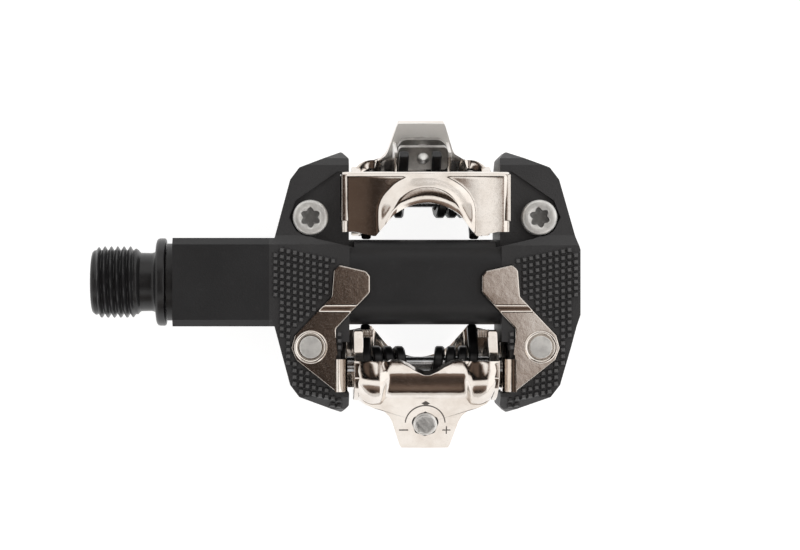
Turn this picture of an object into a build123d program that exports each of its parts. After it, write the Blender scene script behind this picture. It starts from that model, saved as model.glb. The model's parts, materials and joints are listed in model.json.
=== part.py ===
"""Double-sided clipless mountain-bike pedal, in millimetres.

The spindle runs along X and the origin is the crank seating face on its axis, so +X points
away from the crank.  +Z is the upper face.  The lower face is the upper one turned half a turn
about X: the end that carries the front hook above carries the rear claw below.
"""

import os
from math import acos, asin, atan2, cos, degrees, hypot, pi, radians, sin

from build123d import *

# ---- overall -------------------------------------------------------------------------------
PEDAL_X = 53.1  # crank face to the middle of the cleat mechanism
BODY_INNER = 3.5  # crank face to the inboard end of the body tube
ARM_HALF_SPAN = 30.35  # pedal middle to the outer side of an arm
ARM_LENGTH = 25.9  # spindle axis to the tip of an arm
ARM_INSIDE = 14.9  # pedal middle to the inner side of an arm
TUBE_WIDTH = 17.4  # body tube, along Y
TUBE_HEIGHT = 17.0  # body tube, along Z, which is also the height of the arms' grip faces
TUBE_CHAMFER = 1.3
BARREL_STEP = 0.3  # between the arms the tube is narrower by this much on each side
BARREL_ROUND = 5.0  # and rounded

# ---- general clearances --------------------------------------------------------------------
SEAT_GAP = 0.02  # radial gap of fixed round fits
RUN_GAP = 0.04  # radial gap of running fits
SIDE_GAP = 0.35  # between pieces that move past each other

# ---- spindle -------------------------------------------------------------------------------
THREAD_DIA = 14.288  # 9/16 in, 20 threads to the inch
THREAD_LENGTH = 9.2
THREAD_CHAMFER = 1.0
UNDERCUT_DIA = 11.6
UNDERCUT_LENGTH = 3.7
FLANGE_DIA = 17.5
FLANGE_THICK = 1.9
FLANGE_CHAMFER = 0.5
SOCKET_ACROSS = 8.0  # hexagon socket in the threaded end
SOCKET_DEPTH = 7.0
JOURNAL_DIA = 11.2  # under the lip seal, as far as the inboard balls
SHAFT_DIA = 8.8  # between the ball rows
SPINDLE_END_GAP = 1.0

# ---- bearings ------------------------------------------------------------------------------
BALL_DIA = 2.381  # 3/32 in
BALL_CIRCLE_DIA = 9.8
BALL_SPACE = 0.05  # least room between two balls of a row
CONE_WALL = 0.21  # under the balls' grooves
INBOARD_ROW = 18.6  # crank face to the inboard balls
OUTBOARD_ROW = 73.1  # crank face to the outboard balls
SLEEVE_BORE = 11.0
CUP_WALL = 0.5
CONE_LENGTH = 3.5
NUT_THICK = 2.4
NUT_ACROSS = 10.0
NUT_GAP = 0.05
LOCK_BOLT_DIA = 14.0
LOCK_COLLAR_DIA = 15.4
LOCK_BORE_GAP = 0.3
COLLAR_GAP = 0.3
SEAL_THICK = 1.8
SEAL_WALL = 0.9
END_WALL = 2.4  # closed outboard end of the body

# ---- body arms -----------------------------------------------------------------------------
ARM_CORNER = (5.65, 3.3)  # outer corner of an arm, in from its outer side and from its tip
ARM_SHOULDER = (3.85, 5.7)
ARM_HIP = (0.75, 8.6)  # in from the outer side, and from the spindle axis
ARM_SIDE_Y = 6.4  # half length of the flat outer side
ARM_NOSE = (1.4, 1.5)  # cut-off inner corner of the tip
ARM_ROUND = 0.6
TIP_BEVEL = 1.4
TIP_HALF_Z = 2.0
HOOK_END_DROP = 2.8  # the smooth face at the hook end starts this far below the tube's top
HOOK_ROOT_DROP = 1.2
HOOK_ROOT_Y = 9.2
GRIP_EDGE_Y = 7.2  # where the grip face starts
CLAW_END_DROP = 1.5  # the grip face falls by this much towards the claw end
CLAW_END_BEVEL = (0.8, 2.6)
POCKET_DROP = 3.1  # floor of the sunken corner round a screw head, below the tube's top
POCKET_REACH = (4.2, 4.2)  # how far the sunken corner reaches past the screw
HEAD_GAP = 0.25  # round a screw head
SCREW_HOLE_GAP = 0.2

# ---- hook plates ---------------------------------------------------------------------------
SHEET = 1.3
SEAT_RISE = 1.3  # the tabs that the cleat rests on stand this far above the tube
PLATE_DROP = 0.8  # the rest of the wear plate lies this much lower
TAB_START_Y = 3.4
TAB_END_Y = -4.8
TAB_SPAN = (10.9, 18.0)  # from the pedal middle
FOOT_MARGIN = 3.8  # wear plate beyond the middle of its boss
FLANGE_IN = ARM_INSIDE + 0.3  # pedal middle to the inner face of a flange
FLANGE_GAP = 0.1
FLANGE_START_Y = 11.8
FLANGE_END_Y = 21.2
BEND_OUT = 2.3  # the wear plate reaches the flange only along this neck
BEND_START_Y = 15.1
HOOK_FRONT_Y = 21.8
HOOK_RISE = 3.8  # the hook's top stands this far above the seat
HOOK_SHEET = 1.4
HOOK_CROWN = 8.4  # half width of the raised arch
HOOK_SHOULDER_RISE = 0.8  # its sides, above the seat
HOOK_CROWN_SLOPE = (1.5, 0.7)
HOOK_SIDE_DEPTH = 6.0  # its sides reach this far below the seat, and the flanges go on
HOOK_ROLL_RISE = 1.1  # lower edge of the rolled front, above the seat
HOOK_ROLL_RADIUS = 1.6
HOOK_MOUTH = (6.4, 13.0, 15.4)  # half width, Y at its sides and at its middle
HOOK_TOES = (9.9, 12.7, 9.1)  # the two toes beside the mouth: X from, X to, Y
HOOK_CORNER = (0.9, 0.6)
BOSS_DIA = 6.6
BOSS_DEPTH = 2.4
BOSS_PROUD = 0.45

# ---- plate screws --------------------------------------------------------------------------
SCREW_X = ARM_HALF_SPAN - 7.85  # pedal middle to a screw
SCREW_Y = 12.7
SCREW_DIA = 4.4
SCREW_HEAD_DIA = 7.0
SCREW_HEAD = 2.2
TORX_POINT_DIA = 3.9
TORX_DEPTH = 1.5
TORX_LOBES = 6
TORX_WAIST = 0.36  # radius of the ring of lobes and of a lobe, as shares of the diameter
TORX_LOBE = 0.14
HEAD_CHAMFER = 0.4
END_CHAMFER = 0.3
SCREW_PROUD = 0.7  # end past the wear plate

# ---- claws, shafts and springs -------------------------------------------------------------
PIVOT_Y = -16.4
SHAFT_PIN_DIA = 3.0
SHAFT_CHAMFER = 0.3
CLAW_HALF = 14.1
CLAW_WALL = 1.4
CLAW_SHEET = 1.6
CLAW_KNEE = (-18.6, -21.2, -22.5)  # Y of the bends of the claw's back, from the lip down
CLAW_FALL = (2.2, 5.4, 8.7)  # how far the last bends and the lower edge lie below the lip
LIP_Y = -15.3
LIP_DIP_Y = -18.0
LIP_DIP_HALF = 7.1
EAR_RADIUS = 3.4
EAR_NECK = 3.0
EAR_NECK_Z = -1.6
PRONG_Y = -9.3
PRONG_FALL = (8.0, 5.2)  # lower and upper edge of a prong, below the lip
TONGUE_TILT = 20.0
TONGUE_THICK = 2.0
TONGUE_END_Y = -32.7
TONGUE_DROP = 2.4  # the tongue's outer face at the adjusting screw, below the seat
TONGUE_WIDE = ((13.4, -21.8), (12.2, -23.9), (9.6, -24.8), (7.6, -25.7), (6.4, -27.6))
TONGUE_TIP_HALF = 4.7
ADJUST_Y = -27.8
SPRING_WIRE = 1.9
COIL_GAP = 0.25  # between the shaft and the coil
SPRING_CORNER = 0.5  # the wire is rolled nearly square
SPRING_TURNS = 3
SPRING_SPANS = ((-12.3, -3.0), (1.6, 11.0))  # along X, from the pedal middle
SPRING_LEG_START = 50.0  # degrees round the shaft from +Y, where the leg to the tube leaves
LEG_GAP = 0.02  # between a spring's legs and what they press on
PLATE_LEG = 9.6

# ---- adjusting screws ----------------------------------------------------------------------
ADJUST_HEAD_DIA = 4.9
ADJUST_HEAD = 2.4
ADJUST_PROUD = 0.5
ADJUST_SHANK_DIA = 3.9
ADJUST_PILOT_DIA = 2.4
ADJUST_KEY = 3.0
ADJUST_KEY_DEPTH = 2.2
ADJUST_TRAVEL = 1.6  # two turns of the screw
ADJUST_CHAMFER = 0.3
PILOT_EXTRA = 0.2
CONE_TIP_TAPER = 35
NUT_PLATE_DEPTH = 5.6
NUT_PLATE_ROUND = 2.0
NUT_PLATE_THICK = 1.8
TENSION_PLATE_DEPTH = 4.6
TENSION_PLATE_THICK = 1.6
TENSION_PLATE_ROUND = 0.8
TENSION_PLATE_GAP = 2.0  # below the nut
RAIL_IN = 5.0  # screw axis to the inner side of a rail under the tongue
RAIL_THICK = 0.7
RAIL_GAP = 0.1
RAIL_SPAN = (-1.2, 4.4)  # along the tongue, from the screw
RAIL_DEPTH = 9.0
CONE_TIP = 1.4

TUBE_HALF_Z = TUBE_HEIGHT / 2
CONE_THREAD_DIA = BALL_CIRCLE_DIA - BALL_DIA - 2 * CONE_WALL
BALLS_PER_ROW = int(pi / asin((BALL_DIA + BALL_SPACE) / BALL_CIRCLE_DIA))
SEAT_Z = TUBE_HALF_Z + SEAT_RISE
POCKET_Z = TUBE_HALF_Z - POCKET_DROP
PLATE_Z = SEAT_Z - PLATE_DROP
HOOK_TOP_Z = SEAT_Z + HOOK_RISE
TONGUE_Z = SEAT_Z - TONGUE_DROP
FLANGE_OUT = FLANGE_IN + SHEET
RECESS_X = FLANGE_OUT + FLANGE_GAP
BEND_X = FLANGE_IN + BEND_OUT
RECESS_Y = (FLANGE_START_Y - FLANGE_GAP, HOOK_FRONT_Y)  # slot in each arm for a flange
MIRROR = Plane.YZ.offset(PEDAL_X)


def level(z):
    """Plane parallel to XY at height z, its origin under the pedal middle."""
    return Plane(origin=(PEDAL_X, 0, z))


def across(x):
    """Plane facing +X, x from the pedal middle; sketch axes are Y and Z."""
    return Plane.YZ.offset(PEDAL_X + x)


def facing(y):
    """Plane facing -Y at y; sketch axes are X from the pedal middle, and Z."""
    return Plane(origin=(PEDAL_X, y, 0), x_dir=(1, 0, 0), z_dir=(0, -1, 0))


def turned_over(part):
    """The same piece for the lower face."""
    with BuildPart() as other:
        add(part, rotation=(180, 0, 0))
    return other.part


def save(part, name):
    part.label = name
    export_step(part, f"parts/{name}.step")


os.makedirs("parts", exist_ok=True)

# ---- spindle -------------------------------------------------------------------------------
ball_reach = BALL_DIA / 2 + RUN_GAP  # radius of every ball groove
ball_circle = BALL_CIRCLE_DIA / 2
bore_end = PEDAL_X + ARM_HALF_SPAN - END_WALL
spindle_end = bore_end - SPINDLE_END_GAP
cone_end = OUTBOARD_ROW + CONE_LENGTH
thread_end = -(UNDERCUT_LENGTH + THREAD_LENGTH)
thread_step = OUTBOARD_ROW - BALL_DIA

with BuildPart() as spindle:
    with BuildSketch(Plane.XZ):
        with BuildLine():
            Polyline(
                (thread_end, 0),
                (thread_end, THREAD_DIA / 2 - THREAD_CHAMFER),
                (thread_end + THREAD_CHAMFER, THREAD_DIA / 2),
                (-UNDERCUT_LENGTH, THREAD_DIA / 2),
                (-UNDERCUT_LENGTH, UNDERCUT_DIA / 2),
                (0, UNDERCUT_DIA / 2),
                (0, FLANGE_DIA / 2 - FLANGE_CHAMFER),
                (FLANGE_CHAMFER, FLANGE_DIA / 2),
                (FLANGE_THICK, FLANGE_DIA / 2),
                (FLANGE_THICK, JOURNAL_DIA / 2),
                (INBOARD_ROW, JOURNAL_DIA / 2),
                (INBOARD_ROW, SHAFT_DIA / 2),
                (thread_step, SHAFT_DIA / 2),
                (thread_step, CONE_THREAD_DIA / 2),
                (spindle_end, CONE_THREAD_DIA / 2),
                (spindle_end, 0),
                close=True,
            )
        make_face()
    revolve(axis=Axis.X)
    with BuildSketch(Plane.XZ):
        with Locations((INBOARD_ROW, ball_circle)):
            Circle(ball_reach)
    revolve(axis=Axis.X, mode=Mode.SUBTRACT)
    with BuildSketch(Plane.YZ.offset(thread_end)):
        RegularPolygon(SOCKET_ACROSS / 2, 6, major_radius=False)
    extrude(amount=SOCKET_DEPTH, mode=Mode.SUBTRACT)
save(spindle.part, "spindle")


def ball_row(x):
    """One ring of loose balls round the spindle."""
    with BuildPart() as row:
        with BuildSketch(Plane.XZ):
            with BuildLine():
                CenterArc((x, ball_circle), BALL_DIA / 2, 0, 180)
                Line((x - BALL_DIA / 2, ball_circle), (x + BALL_DIA / 2, ball_circle))
            make_face()
        revolve(axis=Axis((x, 0, ball_circle), (1, 0, 0)))
        ball = row.part
        for n in range(1, BALLS_PER_ROW):
            add(ball, rotation=(360 * n / BALLS_PER_ROW, 0, 0))
    return row.part


save(ball_row(INBOARD_ROW), "inboard_balls")
save(ball_row(OUTBOARD_ROW), "outboard_balls")

# ---- cone and its lock nut -----------------------------------------------------------------
with BuildPart() as cone:
    with BuildSketch(Plane.YZ.offset(OUTBOARD_ROW)):
        Circle(JOURNAL_DIA / 2)
        Circle(CONE_THREAD_DIA / 2 + SEAT_GAP, mode=Mode.SUBTRACT)
    extrude(amount=CONE_LENGTH)
    with BuildSketch(Plane.XZ):
        with Locations((OUTBOARD_ROW, ball_circle)):
            Circle(ball_reach)
    revolve(axis=Axis.X, mode=Mode.SUBTRACT)
save(cone.part, "bearing_cone")

with BuildPart() as lock_nut:
    with BuildSketch(Plane.YZ.offset(cone_end + NUT_GAP)):
        RegularPolygon(NUT_ACROSS / 2, 6, major_radius=False)
        Circle(CONE_THREAD_DIA / 2 + SEAT_GAP, mode=Mode.SUBTRACT)
    extrude(amount=NUT_THICK)
save(lock_nut.part, "cone_lock_nut")

# ---- sleeve with a cup at each end ---------------------------------------------------------
cup_radius = ball_circle + BALL_DIA / 2 + RUN_GAP
sleeve_radius = cup_radius + CUP_WALL
sleeve_start = INBOARD_ROW - ball_reach - RUN_GAP
sleeve_end = OUTBOARD_ROW + ball_reach + RUN_GAP

with BuildPart() as sleeve:
    with BuildSketch(Plane.YZ.offset(sleeve_start)):
        Circle(sleeve_radius)
        Circle(SLEEVE_BORE / 2, mode=Mode.SUBTRACT)
    extrude(amount=sleeve_end - sleeve_start)
    for cup_start in (sleeve_start, OUTBOARD_ROW):
        with BuildSketch(Plane.YZ.offset(cup_start)):
            Circle(cup_radius)
        extrude(amount=ball_reach + RUN_GAP, mode=Mode.SUBTRACT)
    with BuildSketch(Plane.XZ):
        with Locations((INBOARD_ROW, ball_circle), (OUTBOARD_ROW, ball_circle)):
            Circle(ball_reach)
    revolve(axis=Axis.X, mode=Mode.SUBTRACT)
save(sleeve.part, "bearing_sleeve")

# ---- lock bolt and lip seal ----------------------------------------------------------------
collar_start = FLANGE_THICK + COLLAR_GAP
lock_bore = JOURNAL_DIA / 2 + LOCK_BORE_GAP
seal_radius = lock_bore + SEAL_WALL - LOCK_BORE_GAP

with BuildPart() as lock_bolt:
    with BuildSketch(Plane.YZ.offset(collar_start)):
        Circle(LOCK_COLLAR_DIA / 2)
    extrude(amount=BODY_INNER - collar_start)
    with BuildSketch(Plane.YZ.offset(BODY_INNER)):
        Circle(LOCK_BOLT_DIA / 2 - SEAT_GAP)
    extrude(amount=sleeve_start - BODY_INNER)
    with BuildSketch(Plane.YZ.offset(collar_start)):
        Circle(lock_bore)
    extrude(amount=sleeve_start - collar_start, mode=Mode.SUBTRACT)
    with BuildSketch(Plane.YZ.offset(collar_start)):
        Circle(seal_radius)
    extrude(amount=SEAL_THICK, mode=Mode.SUBTRACT)
save(lock_bolt.part, "lock_bolt")

with BuildPart() as lip_seal:
    with BuildSketch(Plane.YZ.offset(collar_start)):
        Circle(seal_radius - SEAT_GAP)
        Circle(JOURNAL_DIA / 2 + RUN_GAP, mode=Mode.SUBTRACT)
    extrude(amount=SEAL_THICK)
save(lip_seal.part, "lip_seal")

# ---- hook plates ---------------------------------------------------------------------------

def wear_plate_outline(slack=0.0):
    """Plan of one wear plate, on the +X side, behind the spindle."""
    with BuildSketch(mode=Mode.PRIVATE) as outline:
        with BuildLine():
            Polyline(
                (TAB_SPAN[0], TAB_START_Y - 2.2),
                (TAB_SPAN[0] + 0.8, TAB_START_Y - 1.2),
                (TAB_SPAN[1] - 1.1, TAB_START_Y),
                (TAB_SPAN[1], TAB_START_Y - 1.1),
                (TAB_SPAN[1] + 0.4, TAB_END_Y + 2.0),
                (SCREW_X + FOOT_MARGIN - 0.7, FOOT_MARGIN - 1.5 - SCREW_Y),
                (SCREW_X + FOOT_MARGIN, -SCREW_Y - 0.2),
                (SCREW_X + FOOT_MARGIN - 0.9, -SCREW_Y - 2.5),
                (BEND_X + 0.5, 0.1 - FLANGE_END_Y),
                (FLANGE_OUT, -FLANGE_END_Y - 0.4),
                (FLANGE_IN, -FLANGE_END_Y - 0.4),
                (FLANGE_IN, -BEND_START_Y),
                (BEND_X - 0.7, -BEND_START_Y + 0.1),
                (BEND_X, -BEND_START_Y + 0.9),
                (BEND_X, -BEND_START_Y + 6.0),
                (TAB_SPAN[0], TAB_START_Y - 5.4),
                close=True,
            )
        make_face()
        if slack:
            offset(amount=slack, kind=Kind.INTERSECTION)
    return outline.sketch


def hook_outline():
    """Plan of the front hook, ahead of the spindle."""
    with BuildSketch(mode=Mode.PRIVATE) as outline:
        with BuildLine():
            mouth, mouth_side_y, mouth_middle_y = HOOK_MOUTH
            toe_in, toe_out, toe_y = HOOK_TOES
            right = [
                (mouth, mouth_side_y),
                (toe_in, toe_y),
                (toe_out, toe_y),
                (ARM_INSIDE - FLANGE_GAP, FLANGE_START_Y),
                (FLANGE_OUT, FLANGE_START_Y),
                (FLANGE_OUT, HOOK_FRONT_Y - HOOK_CORNER[1]),
                (FLANGE_OUT - HOOK_CORNER[0], HOOK_FRONT_Y),
            ]
            left = [(-x, y) for x, y in reversed(right)]
            ThreePointArc(left[-1], (0, mouth_middle_y), right[0])
            Polyline(*right, *left)
        make_face()
    return outline.sketch


def arch_section(inset):
    """Section of the hook seen from the front, moved in by inset."""
    shoulder = SEAT_Z + HOOK_SHOULDER_RISE - inset
    crown = HOOK_CROWN - inset / 2
    slope_x, slope_z = HOOK_CROWN_SLOPE
    right = [
        (crown, HOOK_TOP_Z - inset),
        (crown + slope_x, HOOK_TOP_Z - slope_z - inset),
        (FLANGE_OUT - inset, shoulder),
        (FLANGE_OUT - inset, SEAT_Z - HOOK_SIDE_DEPTH),
    ]
    with BuildSketch(mode=Mode.PRIVATE) as section:
        with BuildLine():
            Polyline(
                *[(-x, z) for x, z in reversed(right)],
                *right,
                close=True,
            )
        make_face()
    return section.sketch


with BuildPart() as hook:
    with BuildSketch(facing(0)):
        add(arch_section(0))
    extrude(amount=-HOOK_FRONT_Y)
    front_edges = hook.edges().filter_by(Axis.X).group_by(Axis.Y)[-1]
    fillet(front_edges.sort_by(Axis.Z)[-1:], HOOK_ROLL_RADIUS)
    with BuildSketch(facing(0)):
        add(arch_section(HOOK_SHEET))
    extrude(amount=-(HOOK_FRONT_Y - HOOK_SHEET), mode=Mode.SUBTRACT)
    with BuildSketch(facing(HOOK_FRONT_Y - 2 * HOOK_SHEET)):
        with Locations((0, (SEAT_Z + HOOK_ROLL_RISE) / 2)):
            Rectangle(2 * FLANGE_IN, SEAT_Z + HOOK_ROLL_RISE)
    extrude(amount=-4 * HOOK_SHEET, mode=Mode.SUBTRACT)
    with BuildSketch(level(0)):
        add(hook_outline())
    extrude(amount=HOOK_TOP_Z + 1, mode=Mode.INTERSECT)

with BuildPart() as upper_plate:
    add(hook.part)
    # wear plates of the lower face, drawn for the upper one and turned over
    with BuildPart(mode=Mode.PRIVATE) as wear:
        with BuildSketch(level(PLATE_Z - SHEET)):
            add(wear_plate_outline())
        extrude(amount=SHEET)
        with BuildSketch(level(PLATE_Z - SHEET)):
            add(wear_plate_outline())
            with Locations((0, TAB_END_Y - 50)):
                Rectangle(100, 100, mode=Mode.SUBTRACT)
        extrude(amount=SHEET + PLATE_DROP)
        with BuildSketch(level(PLATE_Z - SHEET - BOSS_DEPTH)):
            with Locations((SCREW_X, -SCREW_Y)):
                Circle(BOSS_DIA / 2)
        extrude(amount=BOSS_DEPTH + SHEET + BOSS_PROUD)
        with BuildSketch(level(PLATE_Z - SHEET - BOSS_DEPTH)):
            with Locations((SCREW_X, -SCREW_Y)):
                Circle(SCREW_DIA / 2 + SEAT_GAP)
        extrude(amount=BOSS_DEPTH + SHEET + BOSS_PROUD, mode=Mode.SUBTRACT)
    add(wear.part, rotation=(180, 0, 0))
    # flange between the two, with the hole that carries the pivot shaft
    with BuildSketch(across(FLANGE_IN)):
        with BuildLine():
            Polyline(
                (FLANGE_START_Y, SEAT_Z + HOOK_SHOULDER_RISE - HOOK_SHEET),
                (FLANGE_END_Y, SEAT_Z + HOOK_SHOULDER_RISE - HOOK_SHEET),
                (FLANGE_END_Y, -PLATE_Z + SHEET / 2),
                (BEND_START_Y, -PLATE_Z + SHEET / 2),
                (BEND_START_Y, -EAR_RADIUS - 0.8),
                (FLANGE_START_Y, 1.0 - EAR_RADIUS),
                close=True,
            )
        make_face()
        with Locations((-PIVOT_Y, 0)):
            Circle(SHAFT_PIN_DIA / 2 + SEAT_GAP, mode=Mode.SUBTRACT)
    extrude(amount=SHEET)
    mirror(about=MIRROR)
save(upper_plate.part, "upper_hook_plate")
save(turned_over(upper_plate.part), "lower_hook_plate")

# ---- pivot shafts --------------------------------------------------------------------------
with BuildPart() as pivot:
    with BuildSketch(across(-FLANGE_OUT)):
        with Locations((PIVOT_Y, 0)):
            Circle(SHAFT_PIN_DIA / 2)
    extrude(amount=2 * FLANGE_OUT)
    chamfer(pivot.edges().filter_by(GeomType.CIRCLE), SHAFT_CHAMFER)
save(pivot.part, "upper_pivot_shaft")
save(turned_over(pivot.part), "lower_pivot_shaft")

# ---- body ----------------------------------------------------------------------------------
with BuildPart() as body:
    # arms: their side profile, cut to their plan
    with BuildSketch(across(-ARM_HALF_SPAN)):
        with BuildLine():
            half = [
                (ARM_LENGTH, TIP_HALF_Z),
                (ARM_LENGTH - TIP_BEVEL, TUBE_HALF_Z - HOOK_END_DROP - 1.0),
                (ARM_LENGTH - 2 * TIP_BEVEL, TUBE_HALF_Z - HOOK_END_DROP),
                (HOOK_ROOT_Y, TUBE_HALF_Z - HOOK_ROOT_DROP),
                (GRIP_EDGE_Y, TUBE_HALF_Z),
                (-SCREW_Y, TUBE_HALF_Z),
                (ARM_CORNER[1] - ARM_LENGTH, TUBE_HALF_Z - CLAW_END_DROP),
                (
                    CLAW_END_BEVEL[0] - ARM_LENGTH,
                    TUBE_HALF_Z - CLAW_END_DROP - CLAW_END_BEVEL[1],
                ),
                (-ARM_LENGTH, TIP_HALF_Z),
            ]
            Polyline(*half, *[(-y, -z) for y, z in half], close=True)
        make_face()
    extrude(amount=2 * ARM_HALF_SPAN)
    with BuildSketch(level(-TUBE_HALF_Z)):
        with BuildLine():
            FilletPolyline(
                (ARM_INSIDE, 0),
                (ARM_INSIDE, ARM_LENGTH - ARM_NOSE[1]),
                (ARM_INSIDE + ARM_NOSE[0], ARM_LENGTH),
                (ARM_HALF_SPAN - ARM_CORNER[0], ARM_LENGTH - ARM_CORNER[1]),
                (ARM_HALF_SPAN - ARM_SHOULDER[0], ARM_LENGTH - ARM_SHOULDER[1]),
                (ARM_HALF_SPAN - ARM_HIP[0], ARM_HIP[1]),
                (ARM_HALF_SPAN, ARM_SIDE_Y),
                (ARM_HALF_SPAN, 0),
                radius=ARM_ROUND,
            )
            Line((ARM_HALF_SPAN, 0), (ARM_INSIDE, 0))
        make_face()
        mirror(about=Plane.XZ)
        mirror(about=Plane.YZ)
    extrude(amount=TUBE_HEIGHT, mode=Mode.INTERSECT)
    # tube that carries the bearings
    with BuildSketch(Plane.YZ.offset(BODY_INNER)):
        with BuildLine():
            Polyline(
                (TUBE_WIDTH / 2, 0),
                (TUBE_WIDTH / 2, TUBE_HALF_Z - TUBE_CHAMFER),
                (TUBE_WIDTH / 2 - TUBE_CHAMFER, TUBE_HALF_Z),
                (0, TUBE_HALF_Z),
                (0, 0),
                close=True,
            )
        make_face()
        mirror(about=Plane.XZ)
        mirror(about=Plane.YZ)
    extrude(amount=PEDAL_X - BODY_INNER - ARM_INSIDE)
    with BuildSketch(across(-ARM_INSIDE)):
        RectangleRounded(TUBE_WIDTH - 2 * BARREL_STEP, TUBE_HEIGHT, BARREL_ROUND)
    extrude(amount=2 * ARM_INSIDE)
    # bores
    for start, end, radius in (
        (BODY_INNER, sleeve_start, LOCK_BOLT_DIA / 2),
        (sleeve_start, sleeve_end, sleeve_radius + SEAT_GAP),
        (sleeve_end, bore_end, cup_radius),
    ):
        with BuildSketch(Plane.YZ.offset(start)):
            Circle(radius)
        extrude(amount=end - start, mode=Mode.SUBTRACT)
    # slots for the flanges, all the way through
    with BuildSketch(level(-TUBE_HALF_Z)):
        for side in (-1, 1):
            for end in (-1, 1):
                with Locations(
                    (
                        side * (ARM_INSIDE + RECESS_X) / 2,
                        end * sum(RECESS_Y) / 2,
                    )
                ):
                    Rectangle(RECESS_X - ARM_INSIDE, RECESS_Y[1] - RECESS_Y[0])
    extrude(amount=TUBE_HEIGHT, mode=Mode.SUBTRACT)
    # sunken corner round each screw head, and the seat of each wear plate
    reach_x, reach_y = POCKET_REACH
    with BuildPart(mode=Mode.PRIVATE) as cuts:
        with BuildSketch(level(POCKET_Z)):
            with BuildLine():
                Polyline(
                    (ARM_INSIDE - 1, HOOK_FRONT_Y),
                    (RECESS_X + 0.6, HOOK_FRONT_Y),
                    (SCREW_X + 0.7 * reach_x, SCREW_Y + 0.8 * reach_y),
                    (SCREW_X + reach_x, SCREW_Y),
                    (SCREW_X + 0.65 * reach_x, SCREW_Y - 0.65 * reach_y),
                    (SCREW_X - 0.3 * reach_x, SCREW_Y - reach_y),
                    (ARM_INSIDE - 1, SCREW_Y - 1.4 * reach_y),
                    close=True,
                )
            make_face()
        extrude(amount=TUBE_HEIGHT)
        with BuildSketch(level(POCKET_Z)):
            with Locations((SCREW_X, SCREW_Y)):
                Circle(SCREW_HEAD_DIA / 2 + HEAD_GAP)
        extrude(amount=TUBE_HEIGHT)
        with BuildSketch(level(PLATE_Z - SHEET)):
            add(wear_plate_outline(FLANGE_GAP))
        extrude(amount=TUBE_HEIGHT)
        with BuildSketch(level(PLATE_Z - SHEET - BOSS_DEPTH - FLANGE_GAP)):
            with Locations((SCREW_X, -SCREW_Y)):
                Circle(BOSS_DIA / 2 + FLANGE_GAP)
        extrude(amount=TUBE_HEIGHT)
        with BuildSketch(level(0)):
            with Locations((SCREW_X, SCREW_Y), (SCREW_X, -SCREW_Y)):
                Circle(SCREW_DIA / 2 + SCREW_HOLE_GAP)
        extrude(amount=TUBE_HEIGHT)
        mirror(about=MIRROR)
    add(cuts.part, mode=Mode.SUBTRACT)
    add(cuts.part, rotation=(180, 0, 0), mode=Mode.SUBTRACT)
save(body.part, "pedal_body")

# ---- screws that clamp the hook plates -----------------------------------------------------
def torx_outline():
    """Six-lobed recess."""
    with BuildSketch(mode=Mode.PRIVATE) as star:
        Circle(TORX_POINT_DIA * TORX_WAIST)
        with PolarLocations(TORX_POINT_DIA * TORX_WAIST, TORX_LOBES):
            Circle(TORX_POINT_DIA * TORX_LOBE)
    return star.sketch


screw_end_z = -(PLATE_Z + SCREW_PROUD)
with BuildPart() as plate_screws:
    for side in (-1, 1):
        with BuildSketch(level(POCKET_Z)):
            with Locations((side * SCREW_X, SCREW_Y)):
                Circle(SCREW_HEAD_DIA / 2)
        extrude(amount=SCREW_HEAD)
    chamfer(plate_screws.faces().sort_by(Axis.Z)[-2:].edges(), HEAD_CHAMFER)
    for side in (-1, 1):
        with BuildSketch(level(screw_end_z)):
            with Locations((side * SCREW_X, SCREW_Y)):
                Circle(SCREW_DIA / 2)
        extrude(amount=POCKET_Z - screw_end_z)
        with BuildSketch(level(POCKET_Z + SCREW_HEAD - TORX_DEPTH)):
            with Locations((side * SCREW_X, SCREW_Y)):
                add(torx_outline())
        extrude(amount=TORX_DEPTH, mode=Mode.SUBTRACT)
    chamfer(plate_screws.faces().sort_by(Axis.Z)[:2].edges(), END_CHAMFER)
save(plate_screws.part, "upper_plate_screws")
save(turned_over(plate_screws.part), "lower_plate_screws")

# ---- claws ---------------------------------------------------------------------------------
# the adjusting screw's axis: up out of the tongue's outer face
adjust_plane = Plane(
    origin=(PEDAL_X, ADJUST_Y, TONGUE_Z),
    x_dir=(1, 0, 0),
    z_dir=(0, -sin(radians(TONGUE_TILT)), cos(radians(TONGUE_TILT))),
)


def along_tongue(y):
    """Distance in the tongue's plane from the screw to the place above y."""
    return (y - ADJUST_Y) / cos(radians(TONGUE_TILT))


head_end = ADJUST_PROUD - ADJUST_HEAD
nut_top = head_end - ADJUST_TRAVEL - SIDE_GAP
nut_bottom = nut_top - NUT_PLATE_THICK
plate_top = nut_bottom - TENSION_PLATE_GAP

# profile of the lip and back, and the way to its inner side at each point
claw_back = [(LIP_Y, HOOK_TOP_Z), (CLAW_KNEE[0], HOOK_TOP_Z)]
claw_back += [(y, HOOK_TOP_Z - fall) for y, fall in zip(CLAW_KNEE[1:], CLAW_FALL)]
claw_back += [(CLAW_KNEE[2], HOOK_TOP_Z - CLAW_FALL[2])]
inward = [
    (CLAW_SHEET, 0),
    (CLAW_SHEET, -0.1 * CLAW_SHEET),
    (0.85 * CLAW_SHEET, -0.5 * CLAW_SHEET),
    (0.4 * CLAW_SHEET, -CLAW_SHEET),
    (0, -CLAW_SHEET),
]

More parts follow.
